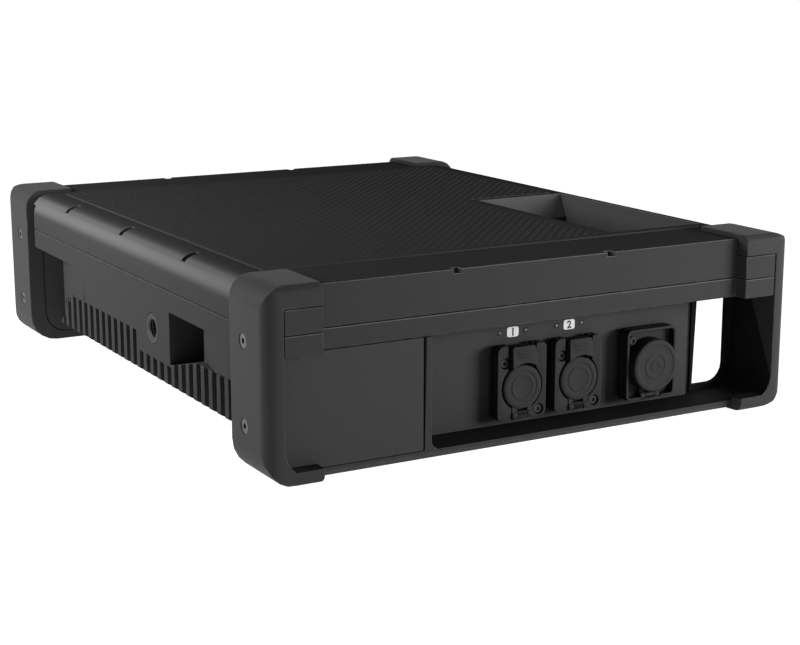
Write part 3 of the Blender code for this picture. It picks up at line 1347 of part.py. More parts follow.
def electronics():
    """The main board with its largest parts, its screws, and the mains supply."""
    low_z = CHASSIS_BOTTOM + CHASSIS_FLOOR + STANDOFF_HEIGHT + GAP
    (left, front), (right, rear) = board_corners()
    top = low_z + BOARD_THICKNESS
    board = box("main_board", (left, front, low_z), (right, rear, top), BOARD_GREEN)
    middle = ((left + right) / 2, (front + rear) / 2)
    half = CHIP_SIZE / 2
    low = (middle[0] - half, middle[1] - half, low_z + BOARD_THICKNESS / 2)
    join(board, box("processor_heatsink", low, (middle[0] + half, middle[1] + half, top + CHIP_HEIGHT)))
    for place in NETWORK_PLACES:
        x, y = from_right(place), front + TRANSFORMER_PLACE
        half = TRANSFORMER_SIZE / 2
        low = (x - half, y - half, low_z + BOARD_THICKNESS / 2)
        join(board, box(f"line_transformer_{place * 1000:.0f}", low, (x + half, y + half, top + half)))
    for index, (x, y) in enumerate(standoff_places()):
        start, end = (x, y, low_z - OVER), (x, y, top + OVER)
        cut(board, drum(f"board_hole_{index}", SCREW_RADIUS + GAP, start, end, 8))
        name = f"board_screw_{index + 1}"
        profile = (
            (0, SCREW_HEAD_HEIGHT),
            (SCREW_HEAD_RADIUS, SCREW_HEAD_HEIGHT),
            (SCREW_HEAD_RADIUS, 0),
            (SCREW_RADIUS, 0),
            (SCREW_RADIUS, -BOARD_SCREW_LENGTH),
            (0, -BOARD_SCREW_LENGTH),
        )
        turned(name, profile, (0, 0, 1), (x, y, top + GAP), 8, SCREW_STEEL)
    low = (from_left(SUPPLY_LOW_X), from_face(FRONT, SUPPLY_PLACE), CHASSIS_BOTTOM + CHASSIS_FLOOR + GAP)
    high = (low[0] + SUPPLY_WIDTH, low[1] + SUPPLY_LENGTH, low[2] + SUPPLY_HEIGHT)
    box("mains_supply", low, high, SUPPLY_STEEL, 0.0015, 1)


def front_end():
    panel = connector_panel("front_connector_panel", FRONT)
    for index, place in enumerate(NETWORK_PLACES, 1):
        port = latched_port(f"network_port_{index}", FRONT, place, network_socket)
        cut_panel_for(panel, port)
        light_pipe(panel, port)
    cut_panel_for(panel, mains_inlet())
    fascia("front_fascia", FRONT)


def rear_end():
    panel = connector_panel("rear_connector_panel", REAR)
    for index, place in enumerate(DATA_PLACES, 1):
        cut_panel_for(panel, latched_port(f"data_port_{index}", REAR, place, data_socket))
    rear_controls()


def frame_screws():
    sides, faces = {-1: "left", 1: "right"}, {FRONT: "front", REAR: "rear"}
    for face in (FRONT, REAR):
        for side in (-1, 1):
            for height in frame_screw_places(side):
                level = "upper" if height == FRAME_SCREW_HEIGHTS[1] else "lower"
                frame_screw(f"{faces[face]}_{sides[side]}_{level}_frame_screw", face, side, height)


end_frame("front_frame", FRONT)
end_frame("rear_frame", REAR)
top_cover()
top_pad()
heatsink()
chassis_tray()
handle_rim()
clamp_insert()
frame_screws()
front_end()
rear_end()
electronics()
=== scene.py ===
"""Looks of the art-net node: its finishes, and the fine pieces that stand for the plain solids.

Metres, +Z up. The front with the network ports faces -Y, and the carrying handle is at +X.
"""

from math import cos, pi, radians, sin

import bmesh
import bpy
from mathutils import Matrix, Vector


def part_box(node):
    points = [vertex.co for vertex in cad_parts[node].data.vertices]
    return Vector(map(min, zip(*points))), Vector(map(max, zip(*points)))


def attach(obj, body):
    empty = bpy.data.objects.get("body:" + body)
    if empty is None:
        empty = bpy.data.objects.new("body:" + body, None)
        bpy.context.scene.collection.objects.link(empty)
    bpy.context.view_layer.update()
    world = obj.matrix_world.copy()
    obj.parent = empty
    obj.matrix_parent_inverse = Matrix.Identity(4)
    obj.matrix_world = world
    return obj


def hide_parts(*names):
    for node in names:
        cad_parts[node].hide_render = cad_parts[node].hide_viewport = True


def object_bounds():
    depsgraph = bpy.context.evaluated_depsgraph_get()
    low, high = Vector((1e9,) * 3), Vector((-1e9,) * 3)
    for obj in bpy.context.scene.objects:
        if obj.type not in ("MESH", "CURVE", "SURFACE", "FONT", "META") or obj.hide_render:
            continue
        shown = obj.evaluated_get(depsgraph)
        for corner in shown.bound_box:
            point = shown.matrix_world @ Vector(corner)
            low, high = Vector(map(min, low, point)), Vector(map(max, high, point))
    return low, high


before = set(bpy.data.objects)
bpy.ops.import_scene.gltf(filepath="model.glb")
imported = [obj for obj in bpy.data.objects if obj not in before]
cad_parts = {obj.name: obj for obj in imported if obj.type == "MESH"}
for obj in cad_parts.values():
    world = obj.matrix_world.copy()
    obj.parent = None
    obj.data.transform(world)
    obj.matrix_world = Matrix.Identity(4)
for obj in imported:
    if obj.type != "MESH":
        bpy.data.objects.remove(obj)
cad_low, cad_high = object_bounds()

# Whole box
WIDTH = cad_high.x - cad_low.x
HALF_WIDTH = WIDTH / 2
HALF_DEPTH = (cad_high.y - cad_low.y) / 2
FRONT, REAR = -1, 1

# Bumpers: the ring's inside, and the gap for the hand beside the body
RAIL_TOP, RING_TOP, RING_INSIDE = 0.0045, 0.0575, 0.1335
HAND_GAP_LEFT, FRAME_FACE = 0.1075, 0.1775

# The handle's scoop in the top
SCOOP_LEFT, SCOOP_LOW, SCOOP_HIGH = 0.0665, -0.1285, -0.0085

# Camera, lamps and floor
CAMERA_PLACE = (-0.4305, -0.7997, 0.2269)
CAMERA_YAW = 29.53
CAMERA_PITCH = 12.63
CAMERA_LENS = 76.49
SENSOR_WIDTH = 36.0
FLOOR_SIZE = 12.0
FLOOR_GAP = 0.0001
FLOOR_GLOW = 0.95
FLOOR_BOUNCE = 0.4
AMBIENT = 0.1

# Ports: how far the lids' frames stand in from the front or the rear, and where each port is
SEAT_INSET = 0.020
PORT_HEIGHT = 0.0244
NETWORK_X = (-0.003, 0.029)
DATA_X = (-0.003, 0.048)
MAINS_X, MAINS_HEIGHT = 0.071, 0.0265
PANEL_FACE = HALF_DEPTH - 0.026
SCREW_U, SCREW_V = 0.0095, 0.012

# Screw heads: radius, height, and the socket's radius and depth
FRAME_SCREW_HEAD = (0.0036, 0.0031, 0.0014, 0.0016)
PORT_SCREW_HEAD = (0.0022, 0.0014, 0.0011, 0.0009)
FRAME_SCREW_INSET, FRAME_SCREW_SINK = 0.0225, 0.0034
FRAME_SCREW_LOW, FRAME_SCREW_HIGH = 0.0238, 0.0615

# Numbers over the network ports, with a light at each side
NUMBER_HEIGHT, NUMBER_SIZE = 0.049, 0.0050
TILE_HALF = (0.0032, 0.0024)
LIGHT_OFFSET = 0.0072
LIGHT_PROFILE = (
    (0, 0.0003), (0.0005, 0.00022), (0.00085, 0.0), (0.001, -0.0003), (0.001, -0.002), (0, -0.002),
)

# Moulded lids
LEG_INNER, LEG_OUTER = 0.0029, 0.0056
LEG_BACK, LEG_FRONT = 0.0006, 0.0028
KNUCKLE_RADIUS = 0.0018
PIN_BORE = 0.0008
RIM = 0.0013

LID_PROFILE = (
    (0.0, 3.05), (1.1, 3.1), (4.9, 3.15), (5.2, 3.45), (6.0, 3.5), (6.3, 3.2), (7.5, 3.15),
    (7.8, 3.5), (9.2, 3.55), (10.1, 3.3), (10.5, 2.8), (10.6, 2.2), (10.6, 0.5), (10.4, 0.3),
    (8.7, 0.3), (8.7, -1.4), (8.4, -1.75), (7.9, -1.8), (7.4, -1.4), (7.2, -0.6), (0.0, -0.6),
)
MAINS_PROFILE = (
    (0.0, 8.0), (1.6, 8.02), (1.9, 8.3), (2.6, 8.32), (2.9, 8.02), (5.0, 7.98), (5.3, 8.3), (6.3, 8.3),
    (6.6, 7.98), (10.3, 7.95), (10.7, 8.35), (11.6, 8.38), (12.4, 8.1), (12.85, 7.6), (13.0, 7.0),
    (13.0, 0.5), (12.8, 0.3), (12.4, 0.3), (12.3, 0.5), (12.3, 6.0), (12.1, 6.2), (0.0, 6.2),
)

# Softened edges: the mark on their faces, and the share of a face's width that one may take
EDGE_ATTRIBUTE = "softened_edge"
EDGE_ROOM = 0.4


# Shader groups

def socket(group, name, kind, side, value=None):
    made = group.interface.new_socket(name=name, in_out=side, socket_type=kind)
    if value is not None:
        made.default_value = value
    return made


class Nodes:
    """Short calls for wiring one node tree."""

    def __init__(self, tree):
        self.tree = tree

    def add(self, kind, **settings):
        made = self.tree.nodes.new(kind)
        for name, value in settings.items():
            setattr(made, name, value)
        return made

    def feed(self, value, target):
        """Links an output to an input, or sets the input's value."""
        if isinstance(value, bpy.types.NodeSocket):
            self.tree.links.new(value, target)
        else:
            target.default_value = value

    def maths(self, operation, *values, clamp=False):
        made = self.add("ShaderNodeMath", operation=operation, use_clamp=clamp)
        for value, target in zip(values, made.inputs):
            self.feed(value, target)
        return made.outputs[0]

    def blend(self, share, first, second):
        """Mixes two colours."""
        made = self.add("ShaderNodeMix", data_type="RGBA")
        for value, target in zip((share, first, second), (made.inputs[0], made.inputs[6], made.inputs[7])):
            self.feed(value, target)
        return made.outputs[2]

    def ramp(self, value, low, high, to_low=0.0, to_high=1.0):
        made = self.add("ShaderNodeMapRange", interpolation_type="SMOOTHSTEP")
        for part, target in zip((value, low, high, to_low, to_high), made.inputs):
            self.feed(part, target)
        return made.outputs[0]

    def noise(self, vector, scale, detail=2.0, rough=0.5):
        made = self.add("ShaderNodeTexNoise")
        for value, name in ((vector, "Vector"), (scale, "Scale"), (detail, "Detail"), (rough, "Roughness")):
            self.feed(value, made.inputs[name])
        return made.outputs["Fac"]


def new_group(name, inputs, outputs):
    """A shader group with named inputs (name, kind, value) and outputs (name, kind)."""
    group = bpy.data.node_groups.new(name, "ShaderNodeTree")
    for label, kind, value in inputs:
        socket(group, label, kind, "INPUT", value)
    for label, kind in outputs:
        socket(group, label, kind, "OUTPUT")
    nodes = Nodes(group)
    return group, nodes, nodes.add("NodeGroupInput").outputs, nodes.add("NodeGroupOutput").inputs


FLOAT, VECTOR = "NodeSocketFloat", "NodeSocketVector"


def coating_grain_group():
    """Orange peel and fine specks of a sprayed coating, or the fine grain of a moulding."""
    inputs = (
        ("Vector", VECTOR, None), ("Grain Scale", FLOAT, 1400.0), ("Peel Scale", FLOAT, 520.0),
        ("Peel Share", FLOAT, 0.15),
    )
    group, nodes, given, result = new_group("coating_grain", inputs, (("Height", FLOAT), ("Tone", FLOAT)))
    fine = nodes.noise(given["Vector"], given["Grain Scale"], 2.0, 0.6)
    peel = nodes.noise(given["Vector"], given["Peel Scale"], 2.0)
    cloud = nodes.noise(given["Vector"], 22.0, 3.0, 0.55)
    share = given["Peel Share"]
    weighted = nodes.maths("MULTIPLY", peel, share)
    rest = nodes.maths("MULTIPLY", fine, nodes.maths("SUBTRACT", 1.0, share))
    nodes.feed(nodes.maths("ADD", weighted, rest), result["Height"])
    specks = nodes.ramp(fine, 0.35, 0.75)
    clouds = nodes.ramp(cloud, 0.3, 0.7)
    tone = nodes.maths("ADD", nodes.maths("MULTIPLY", specks, 0.75), nodes.maths("MULTIPLY", clouds, 0.25))
    nodes.feed(tone, result["Tone"])
    return group


def edge_wear_group():
    """Where softened edges have been rubbed by hands or cases, broken up by noise."""
    inputs = (("Vector", VECTOR, None), ("Amount", FLOAT, 0.5), ("Break Scale", FLOAT, 160.0))
    group, nodes, given, result = new_group("edge_wear", inputs, (("Mask", FLOAT),))
    edge = nodes.add("ShaderNodeAttribute", attribute_name=EDGE_ATTRIBUTE).outputs["Fac"]
    breaks = nodes.ramp(nodes.noise(given["Vector"], given["Break Scale"], 4.0, 0.65), 0.42, 0.66)
    mask = nodes.maths("MULTIPLY", edge, breaks)
    nodes.feed(nodes.maths("MULTIPLY", mask, given["Amount"], clamp=True), result["Mask"])
    return group


def handling_group():
    """Thin scuffs and smudges from handling, for roughness and a little tone."""
    inputs = (("Vector", VECTOR, None), ("Scuff Scale", FLOAT, 30.0), ("Smudge Scale", FLOAT, 16.0))
    group, nodes, given, result = new_group("handling_marks", inputs, (("Scuffs", FLOAT), ("Smudges", FLOAT)))
    stretch = nodes.add("ShaderNodeMapping")
    nodes.feed(given["Vector"], stretch.inputs["Vector"])
    stretch.inputs["Rotation"].default_value = (0.35, 0.2, 0.6)
    stretch.inputs["Scale"].default_value = (1.0, 14.0, 5.0)
    lines = nodes.noise(stretch.outputs[0], given["Scuff Scale"], 5.0, 0.7)
    where = nodes.noise(given["Vector"], given["Smudge Scale"], 2.0)
    scuffs = nodes.maths("MULTIPLY", nodes.ramp(lines, 0.63, 0.72), nodes.ramp(where, 0.5, 0.65))
    nodes.feed(scuffs, result["Scuffs"])
    nodes.feed(nodes.ramp(where, 0.25, 0.8), result["Smudges"])
    return group


def rounding_group():
    """Painted sheen where a side turns over into the top: a mask that lightens roundings as if they caught
    the light.
    """
    inputs = (("Amount", FLOAT, 0.5),)
    group, nodes, given, result = new_group("painted_rounding_sheen", inputs, (("Mask", FLOAT),))
    facing = nodes.add("ShaderNodeSeparateXYZ")
    nodes.feed(nodes.add("ShaderNodeNewGeometry").outputs["Normal"], facing.inputs[0])
    up = facing.outputs[2]
    rise = nodes.ramp(up, 0.0, 0.45)
    fall = nodes.maths("SUBTRACT", 1.0, nodes.ramp(up, 0.6, 0.99))
    mask = nodes.maths("MULTIPLY", rise, fall)
    nodes.feed(nodes.maths("MULTIPLY", mask, given["Amount"], clamp=True), result["Mask"])
    return group


GRAIN = coating_grain_group()
WEAR = edge_wear_group()
HANDLING = handling_group()
PAINTED_SHEEN = rounding_group()


def use_group(nodes, group, vector, **values):
    made = nodes.add("ShaderNodeGroup", node_tree=group)
    nodes.feed(vector, made.inputs["Vector"])
    for name, value in values.items():
        made.inputs[name.replace("_", " ").title()].default_value = value
    return made.outputs


def new_material(name, colour, roughness, metallic=0.0, specular=0.5, **grain):
    """A shader with its object coordinates and the two groups that every finish here starts from."""
    made = bpy.data.materials.new(name)
    made.use_nodes = True
    nodes = Nodes(made.node_tree)
    shader = made.node_tree.nodes["Principled BSDF"]
    shader.inputs["Metallic"].default_value = metallic
    shader.inputs["Specular IOR Level"].default_value = specular
    place = nodes.add("ShaderNodeTexCoord").outputs["Object"]
    coat = use_group(nodes, GRAIN, place, **grain)
    marks = use_group(nodes, HANDLING, place)
    return made, nodes, shader, place, coat, marks


def shades(colour, spread):
    """A darker and a lighter form of a colour, as far apart as spread says."""
    dark = (*(part * (1 - spread) for part in colour), 1.0)
    light = (*(part * (1 + spread) for part in colour), 1.0)
    return dark, light


def coated(
    name, colour, roughness, bump=0.2, wear=0.3, spread=0.1, metallic=0.0, specular=0.5,
    rub_and_sheen=(0.14, 0.14, 0.145), sheen_amount=0.0, **grain
):
    """A sprayed or moulded finish: grain, slight clouding, handling marks and rubbed edges, and a painted
    sheen on roundings where a sheen amount is given.
    """
    parts = new_material(name, colour, roughness, metallic, specular, **grain)
    made, nodes, shader, place, coat, marks = parts
    worn = use_group(nodes, WEAR, place, amount=wear)["Mask"]
    tint = nodes.blend(coat["Tone"], *shades(colour, spread))
    scuffed_and_sheen = nodes.blend(nodes.maths("MULTIPLY", marks["Scuffs"], 0.12), tint, (*rub_and_sheen, 1.0))
    # Painted sheen: roundings between side and top are blended towards the rub colour, as if they caught the
    # light.
    if sheen_amount:
        sheen_mask_node = nodes.add("ShaderNodeGroup", node_tree=PAINTED_SHEEN)
        sheen_mask_node.inputs["Amount"].default_value = sheen_amount
        scuffed_and_sheen = nodes.blend(sheen_mask_node.outputs["Mask"], scuffed_and_sheen, (*rub_and_sheen, 1.0))
    nodes.feed(nodes.blend(worn, scuffed_and_sheen, (*rub_and_sheen, 1.0)), shader.inputs["Base Color"])
    smudged = nodes.maths("MULTIPLY_ADD", marks["Smudges"], -0.03, roughness + 0.02)
    rough = nodes.maths("MULTIPLY_ADD", coat["Tone"], 0.08, smudged)
    rough = nodes.maths("MULTIPLY_ADD", marks["Scuffs"], -0.04, rough, clamp=True)
    nodes.feed(rough, shader.inputs["Roughness"])
    relief = nodes.add("ShaderNodeBump")
    relief.inputs["Strength"].default_value = bump
    relief.inputs["Distance"].default_value = 0.0003
    nodes.feed(coat["Height"], relief.inputs["Height"])
    nodes.feed(relief.outputs[0], shader.inputs["Normal"])
    return made


def lettered_ink(name, colour):
    """Screen-printed ink, a little uneven where it lies on the coating's grain."""
    made, nodes, shader, place, coat, marks = new_material(name, colour, 0.5)
    nodes.feed(nodes.blend(coat["Tone"], *shades(colour, 0.1)), shader.inputs["Base Color"])
    nodes.feed(nodes.maths("MULTIPLY_ADD", coat["Tone"], 0.15, 0.45), shader.inputs["Roughness"])
    return made


def lens(name, colour, glow):
    """A light pipe's end: cloudy clear plastic with a little light in it."""
    made, nodes, shader, place, coat, marks = new_material(name, colour, 0.25)
    tint = nodes.blend(coat["Tone"], *shades(colour, 0.12))
    nodes.feed(tint, shader.inputs["Base Color"])
    nodes.feed(tint, shader.inputs["Emission Color"])
    shader.inputs["Emission Strength"].default_value = glow
    nodes.feed(nodes.maths("MULTIPLY_ADD", marks["Smudges"], 0.1, 0.15), shader.inputs["Roughness"])
    return made


def window_glass(name):
    """The display's hard clear window, with faint fingerprints."""
    colour = (0.8, 0.82, 0.85)
    made, nodes, shader, place, coat, marks = new_material(name, colour, 0.05)
    nodes.feed(nodes.blend(coat["Tone"], *shades(colour, 0.04)), shader.inputs["Base Color"])
    shader.inputs["Transmission Weight"].default_value = 1.0
    nodes.feed(nodes.maths("MULTIPLY_ADD", marks["Smudges"], 0.08, 0.03), shader.inputs["Roughness"])
    return made


def circuit_board(name):
    """Green solder mask over straight copper tracks."""
    made, nodes, shader, place, coat, marks = new_material(name, (0.01, 0.09, 0.035), 0.4)
    tracks = nodes.add("ShaderNodeTexBrick")
    nodes.feed(place, tracks.inputs["Vector"])
    for label, value in (("Scale", 60.0), ("Mortar Size", 0.03), ("Brick Width", 0.9), ("Row Height", 0.16)):
        tracks.inputs[label].default_value = value
    mask = nodes.maths("MULTIPLY", tracks.outputs["Fac"], 0.6)
    base = nodes.blend(coat["Tone"], (0.008, 0.075, 0.03, 1), (0.012, 0.1, 0.04, 1))
    nodes.feed(nodes.blend(mask, base, (0.03, 0.17, 0.07, 1)), shader.inputs["Base Color"])
    nodes.feed(nodes.maths("MULTIPLY_ADD", coat["Tone"], 0.15, 0.3), shader.inputs["Roughness"])
    return made


def display_face(name):
    """The lit display: rows of short bars on a dark ground."""
    made, nodes, shader, place, coat, marks = new_material(name, (0.01, 0.012, 0.015), 0.3)
    bars = nodes.add("ShaderNodeTexBrick")
    turned_place = nodes.add("ShaderNodeMapping")
    turned_place.inputs["Rotation"].default_value = (-pi / 2, 0.0, 0.0)
    nodes.feed(place, turned_place.inputs["Vector"])
    nodes.feed(turned_place.outputs[0], bars.inputs["Vector"])
    for label, value in (("Scale", 100.0), ("Mortar Size", 0.09), ("Brick Width", 0.7), ("Row Height", 0.35)):
        bars.inputs[label].default_value = value
    between = nodes.maths("SUBTRACT", 1.0, bars.outputs["Fac"])
    lit = nodes.maths("MULTIPLY", between, nodes.ramp(marks["Smudges"], 0.3, 0.5))
    tint = nodes.blend(lit, (0.01, 0.012, 0.015, 1), (0.35, 0.5, 0.6, 1))
    nodes.feed(tint, shader.inputs["Base Color"])
    nodes.feed(tint, shader.inputs["Emission Color"])
    shader.inputs["Emission Strength"].default_value = 0.2
    nodes.feed(nodes.maths("MULTIPLY_ADD", coat["Tone"], 0.1, 0.25), shader.inputs["Roughness"])
    return made


def brushed(name, colour, roughness):
    """Turned or brushed metal, with fine lines round or along it."""
    made, nodes, shader, place, coat, marks = new_material(name, colour, roughness, 1.0)
    lines = nodes.add("ShaderNodeMapping")
    nodes.feed(place, lines.inputs["Vector"])
    lines.inputs["Scale"].default_value = (1.0, 60.0, 1.0)
    grain = nodes.noise(lines.outputs[0], 90.0, 3.0, 0.6)
    nodes.feed(nodes.blend(grain, *shades(colour, 0.18)), shader.inputs["Base Color"])
    nodes.feed(nodes.maths("MULTIPLY_ADD", grain, 0.2, roughness - 0.1), shader.inputs["Roughness"])
    relief = nodes.add("ShaderNodeBump")
    relief.inputs["Strength"].default_value = 0.12
    relief.inputs["Distance"].default_value = 0.0002
    nodes.feed(grain, relief.inputs["Height"])
    nodes.feed(relief.outputs[0], shader.inputs["Normal"])
    return made


# Colour, roughness, bump, wear and spread
BUMPER = coated(
    "bumper_coating", (0.044, 0.044, 0.0448), 0.5, 0.2, 0.25, 0.06, specular=0.04, grain_scale=1500.0
)
# The body's roundings get a painted sheen.
BODY = coated(
    "body_coating", (0.05, 0.05, 0.051), 0.6, 0.2, 0.25, 0.06, specular=0.0, sheen_amount=0.75,
    rub_and_sheen=(0.17, 0.17, 0.174), grain_scale=1500.0,
)
PANEL = coated(
    "panel_coating", (0.053, 0.053, 0.054), 0.55, 0.12, 0.15, 0.05, specular=0.03, grain_scale=2200.0
)
# Painted shade: a near-black finish for faces in recesses, hollows and flanks, standing for the shade that
# falls there.
PAINTED_SHADE = coated(
    "painted_shade_black", (0.012, 0.012, 0.0122), 0.7, 0.2, 0.1, 0.1, specular=0.03, rub_and_sheen=(0.04, 0.04, 0.04)
)
MAT = coated("mat_rubber", (0.056, 0.056, 0.0565), 0.8, 0.2, 0.1, 0.08, specular=0.0, rub_and_sheen=(0.06, 0.06, 0.06))
SEAL = coated(
    "seal_rubber", (0.034, 0.034, 0.0347), 0.6, 0.1, 0.15, 0.06, specular=0.05, rub_and_sheen=(0.08, 0.08, 0.08)
)
PLASTIC = coated("socket_plastic", (0.02, 0.02, 0.0205), 0.45, 0.1, 0.15, specular=0.3, rub_and_sheen=(0.07,) * 3)
OXIDE = coated("black_oxide", (0.07, 0.07, 0.072), 0.4, 0.08, 0.6, metallic=0.8, rub_and_sheen=(0.22, 0.22, 0.22))
DARK_OXIDE = coated(
    "dark_oxide", (0.03, 0.03, 0.031), 0.45, 0.08, 0.4, metallic=0.5, specular=0.3, rub_and_sheen=(0.1, 0.1, 0.1)
)
STEEL = coated(
    "insert_steel", (0.022, 0.022, 0.023), 0.5, 0.1, 0.4, metallic=0.3, specular=0.2, rub_and_sheen=(0.09, 0.09, 0.09)
)
SUPPLY = brushed("supply_sheet", (0.45, 0.45, 0.46), 0.35)
GOLD = brushed("contact_gold", (0.75, 0.5, 0.2), 0.3)
WHITE_INK = lettered_ink("white_ink", (0.75, 0.75, 0.74))
BLACK_INK = lettered_ink("black_ink", (0.02, 0.02, 0.02))
LENS = lens("light_lens", (0.09, 0.094, 0.09), 0.01)
GLASS = window_glass("window_glass")
BOARD = circuit_board("board_mask")
DISPLAY = display_face("display_face")


# Meshes

def placed(name, data):
    """A new object in the scene."""
    made = bpy.data.objects.new(name, data)
    bpy.context.scene.collection.objects.link(made)
    return made


def settle(name, shape, material, edge=0.0, segments=2, smooth=32, weld=0.000001):
    """Turns a bmesh into a piece: welded, facing outwards, with softened edges and smooth shading."""
    bmesh.ops.remove_doubles(shape, verts=shape.verts, dist=weld)
    bmesh.ops.recalc_face_normals(shape, faces=shape.faces)
    mesh = bpy.data.meshes.new(name)
    shape.to_mesh(mesh)
    shape.free()
    made = placed(name, mesh)
    mesh.materials.append(material)
    if edge:
        soften(made, edge, segments)
    shade(made, smooth)
    return made


def shade(made, smooth=32):
    made.data.shade_smooth()
    made.data.set_sharp_from_angle(angle=radians(smooth))


def plain(made):
    """Applies an object's modifiers, so that a plain mesh is left."""
    graph = bpy.context.evaluated_depsgraph_get()
    made.data = bpy.data.meshes.new_from_object(made.evaluated_get(graph))
    made.modifiers.clear()
    return made


def weigh_edges(made, edge, angle):
    """Marks the sharp edges, each with the softening its faces have room for, or none if that is little."""
    shape = bmesh.new()
    shape.from_mesh(made.data)
    layer = shape.edges.layers.float.new("bevel_weight_edge")
    for line in shape.edges:
        if len(line.link_faces) != 2 or line.calc_face_angle(0.0) < radians(angle):
            continue
        along = (line.verts[1].co - line.verts[0].co).normalized()
        reach = edge
        for loop in line.link_loops:
            for near in (loop.link_loop_prev.edge, loop.link_loop_next.edge):
                across = near.verts[1].co - near.verts[0].co
                if abs(across.normalized().dot(along)) < 0.85:
                    reach = min(reach, EDGE_ROOM * across.length)
        line[layer] = reach / edge if reach > edge / 2 else 0.0
    shape.to_mesh(made.data)
    shape.free()


def soften(made, edge, segments=2, angle=28):
    weigh_edges(made, edge, angle)
    bevel = made.modifiers.new("soft_edges", "BEVEL")
    bevel.width = edge
    bevel.segments = segments
    bevel.limit_method = "WEIGHT"
    bevel.use_clamp_overlap = False
    made.data.materials.append(made.data.materials[0])
    bevel.material = 1
    plain(made)
    edges = made.data.attributes.new(EDGE_ATTRIBUTE, "FLOAT", "FACE")
    edges.data.foreach_set("value", [float(face.material_index) for face in made.data.polygons])
    made.data.polygons.foreach_set("material_index", [0] * len(made.data.polygons))
    made.data.materials.pop()
    return made


def weigh_normals(made):
    even = made.modifiers.new("even_normals", "WEIGHTED_NORMAL")
    even.keep_sharp = True
    even.weight = 50
    return plain(made)


def add_spun(shape, profile, place, towards, sides=56, unit=1.0):
    """Adds a turned shape: (radius, height) points from its top down, standing at place."""
    turn = Matrix.Translation(place) @ Vector(towards).to_track_quat("Z", "Y").to_matrix().to_4x4()
    rings = []
    for radius, height in profile:
        if radius:
            angles = [2 * pi * index / sides for index in range(sides)]
            ring = [(radius * unit * cos(a), radius * unit * sin(a), height * unit) for a in angles]
        else:
            ring = [(0.0, 0.0, height * unit)]
        rings.append([shape.verts.new(turn @ Vector(point)) for point in ring])
    for upper, lower in zip(rings, rings[1:]):
        for index in range(sides):
            after = (index + 1) % sides
            ends = ((upper, index), (upper, after), (lower, after), (lower, index))
            corners = list(dict.fromkeys(points[step % len(points)] for points, step in ends))
            if len(corners) > 2:
                shape.faces.new(corners)


def add_rod(shape, radius, start, end, sides=24):
    start, end = Vector(start), Vector(end)
    length = (end - start).length
    add_spun(shape, ((0, length), (radius, length), (radius, 0), (0, 0)), start, end - start, sides)


def add_prism(shape, outline, depth_at):
    """Adds an outline (u, v) drawn at two depths; depth_at(u, v, which) gives each corner's place."""
    near = [shape.verts.new(depth_at(u, v, 0)) for u, v in outline]
    far = [shape.verts.new(depth_at(u, v, 1)) for u, v in outline]
    shape.faces.new(near)
    shape.faces.new(far[::-1])
    for index in range(len(outline)):
        after = (index + 1) % len(outline)
        shape.faces.new((near[index], far[index], far[after], near[after]))


def arc(centre, radius, start, end, steps=8):
    angles = [radians(start + (end - start) * step / steps) for step in range(steps + 1)]
    return [(centre[0] + radius * cos(a), centre[1] + radius * sin(a)) for a in angles]


def rounded_rectangle(low_u, low_v, high_u, high_v, radius, steps=6):
    u, v = (low_u + radius, high_u - radius), (low_v + radius, high_v - radius)
    corners = ((u[1], v[1], 0), (u[0], v[1], 90), (u[0], v[0], 180), (u[1], v[0], 270))
    return [point for a, b, start in corners for point in arc((a, b), radius, start, start + 90, steps)]


def finished(made, body, slot=None, *nodes):
    """Puts a piece on its body and hides the solids it stands for. The slot argument is not used."""
    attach(made, body)
    if nodes:
        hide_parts(*nodes)
    return made


def copy_of(shape, *nodes):
    for node in nodes:
        shape.from_mesh(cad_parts[node].data)
    bmesh.ops.remove_doubles(shape, verts=shape.verts, dist=0.000002)
    bmesh.ops.dissolve_limit(shape, angle_limit=radians(0.5), verts=shape.verts, edges=shape.edges)


def dressed(name, node, material, slot, edge=0.0003, body="housing", segments=2):
    """A welded copy of a solid with softened edges, which stands for it."""
    shape = bmesh.new()
    copy_of(shape, node)
    made = settle(name, shape, material, edge, segments)
    return finished(weigh_normals(made), body, slot, node)


def repaint(made, material, chosen):
    """Gives a second material, the painted shade black, to the faces whose middle and direction are chosen.
    """
    made.data.materials.append(material)
    for face in made.data.polygons:
        if chosen(face.center, face.normal):
            face.material_index = 1


# Repeated pieces

WHOLE = "NodeSocketInt"
SHARED_INPUTS = (
    ("Geometry", "NodeSocketGeometry", None), ("Original", "NodeSocketObject", None),
    ("Material", "NodeSocketMaterial", None),
)


def new_tree(name, inputs=()):
    """A tree with the three inputs that all trees here share, then its own."""
    tree = bpy.data.node_groups.new(name, "GeometryNodeTree")
    for label, kind, value in (*SHARED_INPUTS, *inputs):
        socket(tree, label, kind, "INPUT", value)
    socket(tree, "Geometry", "NodeSocketGeometry", "OUTPUT")
    nodes = Nodes(tree)
    return tree, nodes, nodes.add("NodeGroupInput").outputs, nodes.add("NodeGroupOutput").inputs




def deliver(nodes, instances, given, result):
    """Ends a tree: real geometry in one material."""
    real = nodes.add("GeometryNodeRealizeInstances")
    nodes.feed(instances, real.inputs[0])
    paint = nodes.add("GeometryNodeSetMaterial")
    nodes.feed(real.outputs[0], paint.inputs["Geometry"])
    nodes.feed(given["Material"], paint.inputs["Material"])
    nodes.feed(paint.outputs[0], result["Geometry"])


def original_of(nodes, given):
    info = nodes.add("GeometryNodeObjectInfo")
    nodes.feed(given["Original"], info.inputs["Object"])
    return info.outputs["Geometry"]


